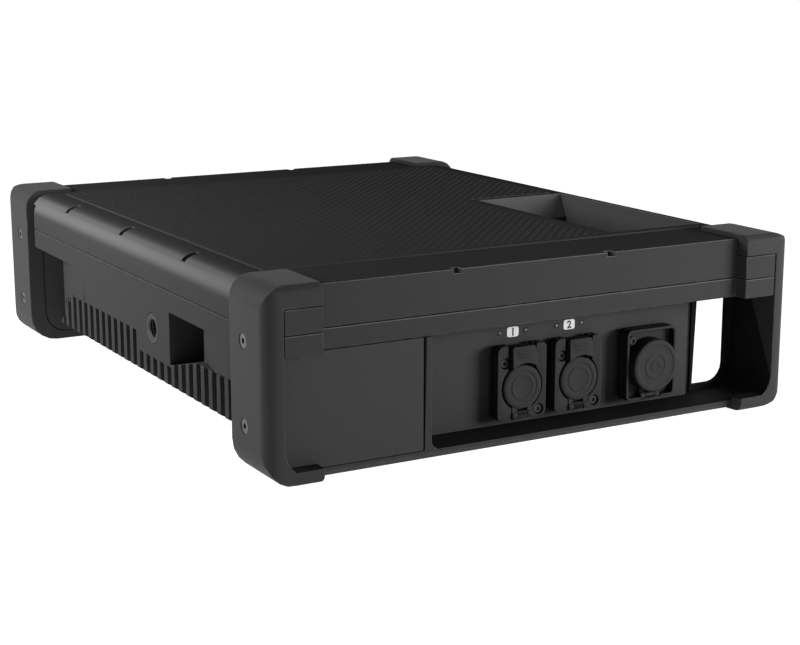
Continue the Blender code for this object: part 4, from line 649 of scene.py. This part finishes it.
def fastener_tree():
    """One original at each point, its +Z turned along the point's own direction."""
    tree, nodes, given, result = new_tree("fasteners_on_points")
    facing = nodes.add("GeometryNodeInputNamedAttribute", data_type="FLOAT_VECTOR")
    facing.inputs["Name"].default_value = "towards"
    turn = nodes.add("FunctionNodeAlignRotationToVector", axis="Z")
    nodes.feed(facing.outputs["Attribute"], turn.inputs["Vector"])
    place = nodes.add("GeometryNodeInstanceOnPoints")
    nodes.feed(given["Geometry"], place.inputs["Points"])
    nodes.feed(original_of(nodes, given), place.inputs["Instance"])
    nodes.feed(turn.outputs[0], place.inputs["Rotation"])
    deliver(nodes, place.outputs[0], given, result)
    return tree


def tread_tree():
    """Staggered rows of raised dashes on a flat mat, left out over the handle's scoop."""
    inputs = (
        ("Width", FLOAT, 0.24), ("Length", FLOAT, 0.26), ("Columns", WHOLE, 40), ("Rows", WHOLE, 80),
        ("Scoop Left", FLOAT, 0.06), ("Scoop Low", FLOAT, -0.13), ("Scoop High", FLOAT, 0.0),
        ("Height", FLOAT, 0.0867),
    )
    tree, nodes, given, result = new_tree("tread_rows", inputs)
    grid = nodes.add("GeometryNodeMeshGrid")
    sizes = (("Size X", "Width"), ("Size Y", "Length"), ("Vertices X", "Columns"), ("Vertices Y", "Rows"))
    for label, name in sizes:
        nodes.feed(given[name], grid.inputs[label])
    spot = nodes.add("ShaderNodeSeparateXYZ")
    nodes.feed(nodes.add("GeometryNodeInputPosition").outputs[0], spot.inputs[0])
    x, y = spot.outputs[0], spot.outputs[1]
    pitch = nodes.maths("DIVIDE", given["Length"], nodes.maths("SUBTRACT", given["Rows"], 1.0))
    from_low = nodes.maths("ADD", y, nodes.maths("MULTIPLY", given["Length"], 0.5))
    odd = nodes.maths("MODULO", nodes.maths("ROUND", nodes.maths("DIVIDE", from_low, pitch)), 2.0)
    step = nodes.maths("DIVIDE", given["Width"], nodes.maths("SUBTRACT", given["Columns"], 1.0))
    shift = nodes.add("ShaderNodeCombineXYZ")
    side = nodes.maths("SUBTRACT", odd, 0.5)
    nodes.feed(nodes.maths("MULTIPLY", side, nodes.maths("MULTIPLY", step, 0.5)), shift.inputs[0])
    nodes.feed(given["Height"], shift.inputs[2])
    moved = nodes.add("GeometryNodeSetPosition")
    nodes.feed(grid.outputs["Mesh"], moved.inputs["Geometry"])
    nodes.feed(shift.outputs[0], moved.inputs["Offset"])
    inside = nodes.maths("GREATER_THAN", x, given["Scoop Left"])
    for operation, limit in (("GREATER_THAN", "Scoop Low"), ("LESS_THAN", "Scoop High")):
        inside = nodes.maths("MULTIPLY", inside, nodes.maths(operation, y, given[limit]))
    drop = nodes.add("GeometryNodeDeleteGeometry", domain="POINT")
    nodes.feed(moved.outputs[0], drop.inputs["Geometry"])
    nodes.feed(inside, drop.inputs["Selection"])
    place = nodes.add("GeometryNodeInstanceOnPoints")
    nodes.feed(drop.outputs[0], place.inputs["Points"])
    nodes.feed(original_of(nodes, given), place.inputs["Instance"])
    deliver(nodes, place.outputs[0], given, result)
    return tree


def ring_tree():
    """Originals set round a circle, each turned to face outwards."""
    inputs = (("Radius", FLOAT, 0.008), ("Count", WHOLE, 24))
    tree, nodes, given, result = new_tree("ribs_round_a_wheel", inputs)
    circle = nodes.add("GeometryNodeCurvePrimitiveCircle")
    nodes.feed(given["Count"], circle.inputs["Resolution"])
    nodes.feed(given["Radius"], circle.inputs["Radius"])
    turn = nodes.add("FunctionNodeAlignRotationToVector", axis="X")
    nodes.feed(nodes.add("GeometryNodeInputPosition").outputs[0], turn.inputs["Vector"])
    place = nodes.add("GeometryNodeInstanceOnPoints")
    nodes.feed(circle.outputs[0], place.inputs["Points"])
    nodes.feed(original_of(nodes, given), place.inputs["Instance"])
    nodes.feed(turn.outputs[0], place.inputs["Rotation"])
    deliver(nodes, place.outputs[0], given, result)
    return tree


FASTENERS, TREAD, RIBS = fastener_tree(), tread_tree(), ring_tree()


def grown(name, tree, original, material, points=(), **values):
    """Runs a tree on points ((place, direction), ...) and keeps its result as a plain mesh."""
    mesh = bpy.data.meshes.new(name)
    mesh.from_pydata([place for place, _ in points], [], [])
    if points:
        towards = mesh.attributes.new("towards", "FLOAT_VECTOR", "POINT")
        towards.data.foreach_set("vector", [part for _, direction in points for part in direction])
    made = placed(name, mesh)
    modifier = made.modifiers.new(tree.name, "NODES")
    modifier.node_group = tree
    given = {key.replace("_", " ").title(): value for key, value in values.items()}
    given.update(Original=original, Material=material)
    for item in tree.interface.items_tree:
        if item.in_out == "INPUT" and item.name in given:
            modifier[item.identifier] = given[item.name]
    plain(made)
    bpy.data.objects.remove(original)
    shade(made)
    return made


def hex_head(name, radius, height, hollow, depth, chamfer=0.0003):
    """A round screw head with a hexagonal socket, its seat at zero and its top at height."""
    shape = bmesh.new()
    sides = 36
    outer = [(radius * cos(2 * pi * i / sides), radius * sin(2 * pi * i / sides)) for i in range(sides)]
    rings = [
        [(u, v, 0.0) for u, v in outer],
        [(u, v, height - chamfer) for u, v in outer],
        [(u * (1 - chamfer / radius), v * (1 - chamfer / radius), height) for u, v in outer],
    ]
    socket_ring = []
    for index in range(sides):
        angle = 2 * pi * index / sides
        reach = hollow * cos(pi / 6) / cos((angle + pi / 6) % (pi / 3) - pi / 6)
        socket_ring.append((reach * cos(angle), reach * sin(angle)))
    rings += [[(u, v, height) for u, v in socket_ring], [(u, v, height - depth) for u, v in socket_ring]]
    made = [[shape.verts.new(point) for point in ring] for ring in rings]
    for low, high in zip(made, made[1:]):
        for index in range(sides):
            after = (index + 1) % sides
            shape.faces.new((low[index], low[after], high[after], high[index]))
    shape.faces.new(made[-1])
    shape.faces.new(made[0][::-1])
    return settle(name, shape, OXIDE)


# Main shell

def inside_bumper(middle, normal):
    """The faces round the hand's gap and the top of the rail, inside a bumper's ring, which get painted
    shade.
    """
    in_ring = RAIL_TOP - 0.0002 < middle.z < RING_TOP and abs(middle.x) < RING_INSIDE + 0.0003
    in_gap = middle.x > HAND_GAP_LEFT and abs(middle.y) < FRAME_FACE
    faces_in = normal.x * middle.x < -0.2 or normal.z > 0.7
    on_rail = RAIL_TOP - 0.0035 < middle.z < RAIL_TOP + 0.0002 and normal.z > 0.5
    return on_rail or in_ring and (in_gap or (faces_in and abs(middle.x) > RING_INSIDE - 0.012))


def panel_fold(middle, normal):
    """The connector panel's folded edge beside the hand's gap, which gets painted shade."""
    return normal.x > 0.3


def flank(middle, normal):
    """The sides of a lid or a latch, which lie in their frame's shadow and get painted shade."""
    return abs(normal.y) < 0.35


for end in ("front", "rear"):
    bumper = dressed(f"{end}_bumper", f"{end}_frame", BUMPER, "bumper", 0.0005, segments=3)
    # Painted shade on the bumper's inner faces and the rail top.
    repaint(bumper, PAINTED_SHADE, inside_bumper)
dressed("cover_shell", "top_cover", BODY, "body_coating", 0.0005)
dressed("side_heatsink", "heatsink", BODY, "body_coating", 0.00018)
dressed("floor_tray", "chassis_tray", BODY, "body_coating", 0.0)
dressed("carrying_rim", "handle_rim", BODY, "body_coating", 0.0005)
dressed("front_plate", "front_fascia", PANEL, "panel_coating", 0.0002)
dressed("rear_plate", "rear_fascia", PANEL, "panel_coating", 0.0002)
for end in ("front", "rear"):
    plate = dressed(f"{end}_socket_plate", f"{end}_connector_panel", PANEL, "panel_coating", 0.0003)
    # Painted shade on the panel's folded edge.
    repaint(plate, PAINTED_SHADE, panel_fold)
dressed("grip_mat", "top_pad", MAT, "grip_pad", 0.0003)


def tread_bar(length, width, height):
    """One raised dash with sloping sides, open underneath."""
    shape = bmesh.new()
    half_u, half_v, slope = length / 2, width / 2, height * 0.9
    foot = rounded_rectangle(-half_u, -half_v, half_u, half_v, width * 0.45, 2)
    share_u, share_v = 1 - slope / half_u, 1 - slope / half_v
    low = [shape.verts.new((u, v, -height)) for u, v in foot]
    high = [shape.verts.new((u * share_u, v * share_v, height)) for u, v in foot]
    for index in range(len(foot)):
        after = (index + 1) % len(foot)
        shape.faces.new((low[index], low[after], high[after], high[index]))
    shape.faces.new(high)
    shape.faces.new(low[::-1])
    return settle("tread_bar", shape, MAT)


def mat_tread():
    low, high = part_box("top_pad")
    width, length, border = high.x - low.x, high.y - low.y, 0.006
    made = grown(
        "mat_tread", TREAD, tread_bar(0.0034, 0.0011, 0.00018), MAT,
        width=width - 2 * border, length=length - 2 * border, columns=43, rows=87,
        scoop_left=SCOOP_LEFT - border, scoop_low=SCOOP_LOW - border, scoop_high=SCOOP_HIGH + border,
        height=high.z,
    )
    finished(made, "housing", "grip_pad")


mat_tread()


# Ports

class Port:
    """One lidded port: u to its user's right, v up, and w out from its lid frame's front."""

    def __init__(self, label, face, x, z):
        self.label, self.face, self.x, self.z = label, face, x, z

    def at(self, u, v, w):
        return (self.x - self.face * u, self.face * (HALF_DEPTH - SEAT_INSET + w), self.z + v)

    @property
    def out(self):
        return (0, self.face, 0)

    def block(self, shape, low, high):
        outline = ((low[0], low[1]), (high[0], low[1]), (high[0], high[1]), (low[0], high[1]))
        add_prism(shape, outline, lambda u, v, which: self.at(u, v, (low[2], high[2])[which]))


def add_hinge_legs(port, shape, drop, out, top):
    """Two legs with knuckles round the hinge pin, thicker where they leave the lid."""
    for side in (-1, 1):
        inner, outer = side * LEG_INNER, side * LEG_OUTER
        low, high = min(inner, outer), max(inner, outer)
        outline = ((low, -drop), (high, -drop), (high, top), (low, top))
        add_prism(shape, outline, lambda u, v, which: port.at(u, v, (LEG_BACK, LEG_FRONT)[which]))
        end = outer - inner
        profile = [
            (PIN_BORE, 0.0), (KNUCKLE_RADIUS, 0.0), (KNUCKLE_RADIUS, end), (PIN_BORE, end), (PIN_BORE, 0.0),
        ]
        along = Vector(port.at(1, 0, 0)) - Vector(port.at(0, 0, 0))
        add_spun(shape, profile, port.at(inner, -drop, out), along, 24)


def small_lid(port, name, body, node):
    shape = bmesh.new()
    add_spun(shape, LID_PROFILE, port.at(0, 0, 0), port.out, 64, 0.001)
    add_hinge_legs(port, shape, 0.0134, 0.002, -0.0075)
    made = settle(name, shape, SEAL, 0.00015)
    # Painted shade on the lid's flanks.
    repaint(made, PAINTED_SHADE, flank)
    finished(made, body, "seal_rubber", node)


def mains_cap(port, body, node):
    shape = bmesh.new()
    add_spun(shape, MAINS_PROFILE, port.at(0, 0, 0), port.out, 72, 0.001)
    add_hinge_legs(port, shape, 0.0155, 0.0025, -0.0118)
    made = settle("mains_cap", shape, SEAL, 0.00015)
    # Painted shade on the lid's flanks.
    repaint(made, PAINTED_SHADE, flank)
    finished(made, body, "seal_rubber", node)


def cutter_rod(port, radius, u, v, near, far, sides=40):
    shape = bmesh.new()
    add_rod(shape, radius, port.at(u, v, near), port.at(u, v, far), sides)
    return settle("cutter", shape, PLASTIC)


def cutter_block(port, low, high):
    shape = bmesh.new()
    port.block(shape, low, high)
    return settle("cutter", shape, PLASTIC)


def carved(made, *cutters):
    """Cuts the shapes away and removes them."""
    for index, tool in enumerate(cutters):
        modifier = made.modifiers.new(f"cut_{index}", "BOOLEAN")
        modifier.operation = "DIFFERENCE"
        modifier.solver = "EXACT"
        modifier.object = tool
    plain(made)
    for tool in cutters:
        bpy.data.objects.remove(tool)
    return made


def surround(port, name, node, width, top, bottom, opening, height, latch_gap):
    """The moulded frame round a lid: a raised plate with a round recess, or a mere rim if opening is zero.
    Its floor and flanks get painted shade.
    """
    shape = bmesh.new()
    outline = rounded_rectangle(-width / 2, -bottom, width / 2, top, 0.0028)
    add_prism(shape, outline, lambda u, v, which: port.at(u, v, (0.0001, height)[which]))
    raised = settle(name, shape, SEAL)
    past = height + 0.002
    cutters = [cutter_block(port, (-0.0059, -bottom - 0.002, -0.002), (0.0059, -0.0078, past))]
    if opening:
        cutters.append(cutter_rod(port, opening, 0, 0, -0.002, past, 64))
        for side in (-1, 1):
            cutters.append(cutter_rod(port, 0.0026, side * SCREW_U, -side * SCREW_V, -0.002, past))
    else:
        shape = bmesh.new()
        inner = rounded_rectangle(RIM - width / 2, RIM - bottom, width / 2 - RIM, top - RIM, 0.0018)
        add_prism(shape, inner, lambda u, v, which: port.at(u, v, (-0.002, past)[which]))
        cutters.append(settle("cutter", shape, PLASTIC))
    if latch_gap:
        cutters.append(cutter_block(port, (-latch_gap, 0.006, -0.002), (latch_gap, top + 0.002, past)))
    carved(raised, *cutters)
    soften(raised, 0.0003)
    shape = bmesh.new()
    copy_of(shape, node)
    ground = len(shape.faces)
    shape.from_mesh(raised.data)
    bpy.data.objects.remove(raised)
    shape.faces.ensure_lookup_table()
    # Painted shade: the copied frame's faces and the plate's flanks take the second, near-black material.
    for index, face in enumerate(shape.faces):
        face.material_index = int(index < ground or abs(face.normal.y) < 0.3)
    made = settle(name, shape, SEAL, weld=0.0000001)
    made.data.materials.append(PAINTED_SHADE)
    finished(made, "housing", "seal_rubber", node)


def push_latch(port, name, body, node):
    """The sprung push piece over a lid: a waisted face on a guide block, with finger ridges."""
    shape = bmesh.new()
    port.block(shape, (-0.0062, 0.0112, -0.0026), (0.0062, 0.0194, 0.0024))
    foot = arc((0, 0), 0.0119, 54, 126, 14)
    outline = [*foot, (-0.0064, 0.0190), (-0.0057, 0.0197), (0.0057, 0.0197), (0.0064, 0.0190)]

    def face_place(u, v, which):
        lean = (v - 0.0108) / 0.009
        return port.at(u, v, (0.0021, 0.0058 - 0.0016 * max(0.0, lean))[which])

    add_prism(shape, outline, face_place)
    made = settle(name, shape, SEAL, 0.0003)
    shape = bmesh.new()
    shape.from_mesh(made.data)
    bpy.data.objects.remove(made)
    for index in range(3):
        v = 0.0142 + index * 0.0014
        out = 0.0058 - 0.0016 * (v - 0.0108) / 0.009
        port.block(shape, (-0.0036, v - 0.0003, out - 0.0004), (0.0036, v + 0.0003, out + 0.0002))
    made = settle(name, shape, SEAL, weld=0.0000001)
    # Painted shade on the latch's flanks.
    repaint(made, PAINTED_SHADE, flank)
    finished(made, body, "socket_plastic", node)


NETWORK = [Port(f"network_port_{n}", FRONT, x, PORT_HEIGHT) for n, x in enumerate(NETWORK_X, 1)]
DATA = [Port(f"data_port_{n}", REAR, x, PORT_HEIGHT) for n, x in enumerate(DATA_X, 1)]
MAINS = Port("mains", FRONT, MAINS_X, MAINS_HEIGHT)

for port in NETWORK + DATA:
    label = port.label
    small_lid(port, label + "_cap", label + "_lid", label + "_lid")
    push_latch(port, label + "_push", label + "_latch", label + "_latch")
    surround(
        port, label + "_surround", label + "_lid_frame",
        width=0.027, top=0.0201, bottom=0.0154, opening=0.0113, height=0.0026, latch_gap=0.0079,
    )
    dressed(label + "_shell", label + "_socket", PLASTIC, "socket_plastic", 0.0002)
mains_cap(MAINS, "mains_lid", "mains_lid")
surround(
    MAINS, "mains_surround", "mains_lid_frame",
    width=0.0295, top=0.0180, bottom=0.0172, opening=0, height=0.0044, latch_gap=0,
)
dressed("mains_shell", "mains_inlet", PLASTIC, "socket_plastic", 0.0002)


# Contacts

def contact_pin(name, width, thickness, length):
    shape = bmesh.new()
    half_u, half_v = width / 2, thickness / 2
    outline = rounded_rectangle(-half_u, -half_v, half_u, half_v, min(width, thickness) * 0.3, 2)
    add_prism(shape, outline, lambda u, v, which: (u, v, (0.0, length)[which]))
    return settle(name, shape, GOLD)


def network_contacts():
    points = []
    for port in NETWORK:
        for index in range(8):
            points.append((port.at((index - 3.5) * 0.00102, 0.0030, -0.0176), port.out))
    made = grown("network_contacts", FASTENERS, contact_pin("pin", 0.0006, 0.0005, 0.006), GOLD, points)
    finished(made, "housing")


def mains_contacts():
    points = []
    for index in range(3):
        angle = radians(90 + 120 * index)
        points.append((MAINS.at(0.0078 * cos(angle), 0.0078 * sin(angle), -0.0093), MAINS.out))
    made = grown("mains_contacts", FASTENERS, contact_pin("pin", 0.0022, 0.0009, 0.009), GOLD, points)
    finished(made, "housing")


network_contacts()
mains_contacts()


# Screws

def frame_screw_points():
    """Heads flush in the bumpers' sides: two at the left of each, one at the right."""
    points = []
    for face in (FRONT, REAR):
        y = face * (HALF_DEPTH - FRAME_SCREW_INSET)
        for side, height in ((-1, FRAME_SCREW_LOW), (-1, FRAME_SCREW_HIGH), (1, FRAME_SCREW_HIGH)):
            points.append(((side * (HALF_WIDTH - FRAME_SCREW_SINK), y, height), (side, 0, 0)))
    return points


def port_screw_points():
    points = []
    for port in (*NETWORK, *DATA, MAINS):
        for side in (-1, 1):
            points.append((port.at(side * SCREW_U, -side * SCREW_V, 0.0003), port.out))
    return points


def screws(name, head, material, points, nodes):
    made = grown(name, FASTENERS, hex_head("head", *head), material, points)
    finished(made, "housing", "screw_steel", *nodes)


places = [f"{side}_frame_screw" for side in ("left_lower", "left_upper", "right_upper")]
nodes_of_frames = [f"{face}_{place}" for face in ("front", "rear") for place in places]
screws("bumper_screws", FRAME_SCREW_HEAD, OXIDE, frame_screw_points(), nodes_of_frames)
labels = [port.label for port in (*NETWORK, *DATA, MAINS)]
nodes_of_ports = [f"{label}_{place}_screw" for label in labels for place in ("upper", "lower")]
screws("port_screws", PORT_SCREW_HEAD, DARK_OXIDE, port_screw_points(), nodes_of_ports)


# Threaded clamp point

def clamp_thread():
    """A steel insert with a helical thread, and a chamfer at its mouth."""
    low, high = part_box("clamp_insert")
    centre = Vector((low.x, (low.y + high.y) / 2, (low.z + high.z) / 2))
    shape = bmesh.new()
    turns, sides, steps, pitch, depth = 9, 48, 90, 0.0015, 0.0005
    length = turns * pitch
    rows = []
    for step in range(steps + 1):
        x = 0.0006 + length * step / steps
        row = []
        for index in range(sides):
            phase = (x / pitch + index / sides) % 1.0
            radius = 0.0047 - depth * (1 - abs(2 * phase - 1)) + depth * 0.4
            angle = 2 * pi * index / sides
            row.append(shape.verts.new(centre + Vector((x, radius * cos(angle), radius * sin(angle)))))
        rows.append(row)
    outer = []
    for x, radius in ((0.0, 0.0054), (0.0, 0.0072), (0.0003, 0.0075), (high.x - low.x, 0.0075)):
        angles = [2 * pi * index / sides for index in range(sides)]
        ring = [Vector((x, radius * cos(angle), radius * sin(angle))) for angle in angles]
        outer.append([shape.verts.new(centre + point) for point in ring])
    for first, second in zip([*rows[::-1], *outer], [*rows[::-1][1:], *outer]):
        for index in range(sides):
            after = (index + 1) % sides
            shape.faces.new((first[index], first[after], second[after], second[index]))
    shape.faces.new(rows[-1])
    shape.faces.new(outer[-1][::-1])
    made = settle("clamp_point", shape, STEEL, smooth=50)
    finished(made, "housing", "insert_steel", "clamp_insert")


clamp_thread()


# Port numbers and lights

def number_tiles():
    """A white tile with a dark number over each network port."""
    tiles = bmesh.new()
    for port in NETWORK:
        u = port.x - TILE_HALF[0], port.x + TILE_HALF[0]
        v = NUMBER_HEIGHT - TILE_HALF[1], NUMBER_HEIGHT + TILE_HALF[1]
        outline = rounded_rectangle(u[0], v[0], u[1], v[1], 0.0011, 4)
        add_prism(tiles, outline, lambda u, v, which: (u, -PANEL_FACE + (0.00002, -0.00008)[which], v))
    finished(settle("number_tiles", tiles, WHITE_INK), "housing", "panel_coating")
    for index, port in enumerate(NETWORK, 1):
        text = bpy.data.curves.new(f"port_number_{index}", "FONT")
        text.body = str(index)
        text.size = NUMBER_SIZE
        text.offset = 0.00018
        text.align_x, text.align_y = "CENTER", "CENTER"
        text.extrude = 0.00004
        text.resolution_u = 6
        made = placed(f"port_number_{index}", text)
        graph = bpy.context.evaluated_depsgraph_get()
        mesh = bpy.data.meshes.new_from_object(made.evaluated_get(graph))
        bpy.data.objects.remove(made)
        reach = [[point.co[axis] for point in mesh.vertices] for axis in (0, 1)]
        middle = [(min(values) + max(values)) / 2 for values in reach]
        mesh.transform(Matrix.Translation((-middle[0], -middle[1], 0)))
        stand = Matrix.Translation((port.x, -PANEL_FACE - 0.0001, NUMBER_HEIGHT))
        mesh.transform(stand @ Matrix.Rotation(pi / 2, 4, "X"))
        mesh.materials.clear()
        mesh.materials.append(BLACK_INK)
        made = placed(f"port_number_{index}", mesh)
        finished(made, "housing", "panel_coating")


def light_lenses():
    """The domed ends of the light pipes, one at each side of a port's number."""
    for index, port in enumerate(NETWORK, 1):
        shape = bmesh.new()
        copy_of(shape, port.label + "_light_pipe")
        for side in (-1, 1):
            place = (port.x + side * LIGHT_OFFSET, -PANEL_FACE, NUMBER_HEIGHT)
            add_spun(shape, LIGHT_PROFILE, place, port.out, 20)
        made = settle(f"port_lights_{index}", shape, LENS, weld=0.0000001)
        finished(made, "housing", "clear_plastic", port.label + "_light_pipe")


number_tiles()
light_lenses()


# Rear controls

def wheel_rib(height):
    shape = bmesh.new()
    outline = ((-0.0003, -0.00045), (0.0004, -0.0001), (0.0004, 0.0001), (-0.0003, 0.00045))
    add_prism(shape, outline, lambda u, v, which: (u, v, (0.0, height)[which]))
    return settle("wheel_rib", shape, PLASTIC)


def jog():
    """The jog wheel: a dished face, a finger dimple and ribs round its rim."""
    low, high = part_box("jog_wheel")
    centre = Vector(((low.x + high.x) / 2, low.y, (low.z + high.z) / 2))
    deep, radius = high.y - low.y, 0.0076
    shape = bmesh.new()
    profile = (
        (0.0, deep - 0.0004), (0.004, deep - 0.0003), (0.0055, deep - 0.00005), (0.0066, deep),
        (0.0073, deep - 0.0003), (radius, deep - 0.0009), (radius, 0.0003), (0.0073, 0.0), (0.0033, 0.0),
        (0.0033, 0.0038), (0.0, 0.0038),
    )
    add_spun(shape, profile, centre, (0, 1, 0), 64)
    dimple = ((0.0, 0.0001), (0.0011, 0.00025), (0.0014, 0.0004), (0.0014, -0.0006), (0.0, -0.0006))
    add_spun(shape, dimple, centre + Vector((0.0046, deep - 0.0004, 0.0)), (0, 1, 0), 24)
    wheel = settle("jog_face", shape, PLASTIC)
    ribs = grown("jog_ribs", RIBS, wheel_rib(deep - 0.0016), PLASTIC, radius=radius, count=48)
    turn = Vector((0, 1, 0)).to_track_quat("Z", "Y").to_matrix().to_4x4()
    ribs.data.transform(Matrix.Translation(centre + Vector((0, 0.0005, 0))) @ turn)
    shape = bmesh.new()
    for piece in (wheel, ribs):
        shape.from_mesh(piece.data)
        bpy.data.objects.remove(piece)
    made = settle("jog_knob", shape, PLASTIC, weld=0.0000001)
    finished(made, "jog_wheel", "socket_plastic", "jog_wheel")


jog()


# Finishes of the solids that stay

KEPT_FINISHES = (
    (("board_screw_1", "board_screw_2", "board_screw_3", "board_screw_4"), OXIDE),
    (("main_board",), BOARD),
    (("display_module",), DISPLAY),
    (("display_window",), GLASS),
    (("mains_supply",), SUPPLY),
    (("encoder_body",), PLASTIC),
    (("encoder_shaft",), STEEL),
)
for names, material in KEPT_FINISHES:
    for name in names:
        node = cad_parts[name]
        node.data.materials.clear()
        node.data.materials.append(material)


# Stage

def seen_rays(nodes):
    """One for what the camera sees, straight or in gloss and glass, and zero for the rest."""
    rays = nodes.add("ShaderNodeLightPath").outputs
    seen = nodes.maths("ADD", rays["Is Camera Ray"], rays["Is Glossy Ray"])
    return nodes.maths("ADD", seen, rays["Is Transmission Ray"], clamp=True)


def floor_plane():
    """A pale floor that the camera sees as white, with the object's soft shadow on it."""
    shape = bmesh.new()
    half = FLOOR_SIZE / 2
    corners = ((-half, -half), (half, -half), (half, half), (-half, half))
    shape.faces.new([shape.verts.new((x, y, -FLOOR_GAP)) for x, y in corners])
    mesh = bpy.data.meshes.new("floor")
    shape.to_mesh(mesh)
    shape.free()
    made = placed("floor", mesh)
    material = bpy.data.materials.new("floor_white")
    material.use_nodes = True
    nodes = Nodes(material.node_tree)
    material.node_tree.nodes.remove(material.node_tree.nodes["Principled BSDF"])
    output = material.node_tree.nodes["Material Output"]
    matt = nodes.add("ShaderNodeBsdfDiffuse")
    matt.inputs["Color"].default_value = (0.6, 0.6, 0.6, 1)
    glow = nodes.add("ShaderNodeEmission")
    strength = nodes.maths("MULTIPLY_ADD", seen_rays(nodes), FLOOR_GLOW - FLOOR_BOUNCE, FLOOR_BOUNCE)
    nodes.feed(strength, glow.inputs["Strength"])
    both = nodes.add("ShaderNodeAddShader")
    nodes.feed(matt.outputs[0], both.inputs[0])
    nodes.feed(glow.outputs[0], both.inputs[1])
    nodes.feed(both.outputs[0], output.inputs["Surface"])
    mesh.materials.append(material)


def studio_world():
    """Soft grey light all round, which the camera sees as white."""
    world = bpy.data.worlds.new("studio")
    bpy.context.scene.world = world
    world.use_nodes = True
    nodes = Nodes(world.node_tree)
    ground = world.node_tree.nodes["Background"]
    ground.inputs["Color"].default_value = (1, 1, 1, 1)
    nodes.feed(nodes.maths("MULTIPLY_ADD", seen_rays(nodes), 1 - AMBIENT, AMBIENT), ground.inputs["Strength"])


def lamp(name, place, aim, size, power):
    light = bpy.data.lights.new(name, "AREA")
    light.shape = "RECTANGLE"
    light.size, light.size_y = size
    light.energy = power
    made = placed(name, light)
    made.location = place
    made.rotation_euler = (Vector(aim) - Vector(place)).to_track_quat("-Z", "Y").to_euler()
    made.visible_camera = False


def camera():
    data = bpy.data.cameras.new("camera")
    data.sensor_fit = "HORIZONTAL"
    data.sensor_width = SENSOR_WIDTH
    data.lens = CAMERA_LENS
    data.clip_start, data.clip_end = 0.01, 50
    made = placed("camera", data)
    made.location = CAMERA_PLACE
    made.rotation_euler = (radians(90 - CAMERA_PITCH), 0, radians(-CAMERA_YAW))
    bpy.context.scene.camera = made


floor_plane()
studio_world()
lamp("side_softbox", (-0.48, 0.1, 0.24), (-0.14, 0.05, 0.04), (0.3, 0.2), 2.3)
lamp("front_softbox", (0.48, -0.68, 0.19), (0.12, 0, 0.04), (0.4, 0.2), 5.1)
camera()
bpy.context.scene.view_settings.view_transform = "Standard"
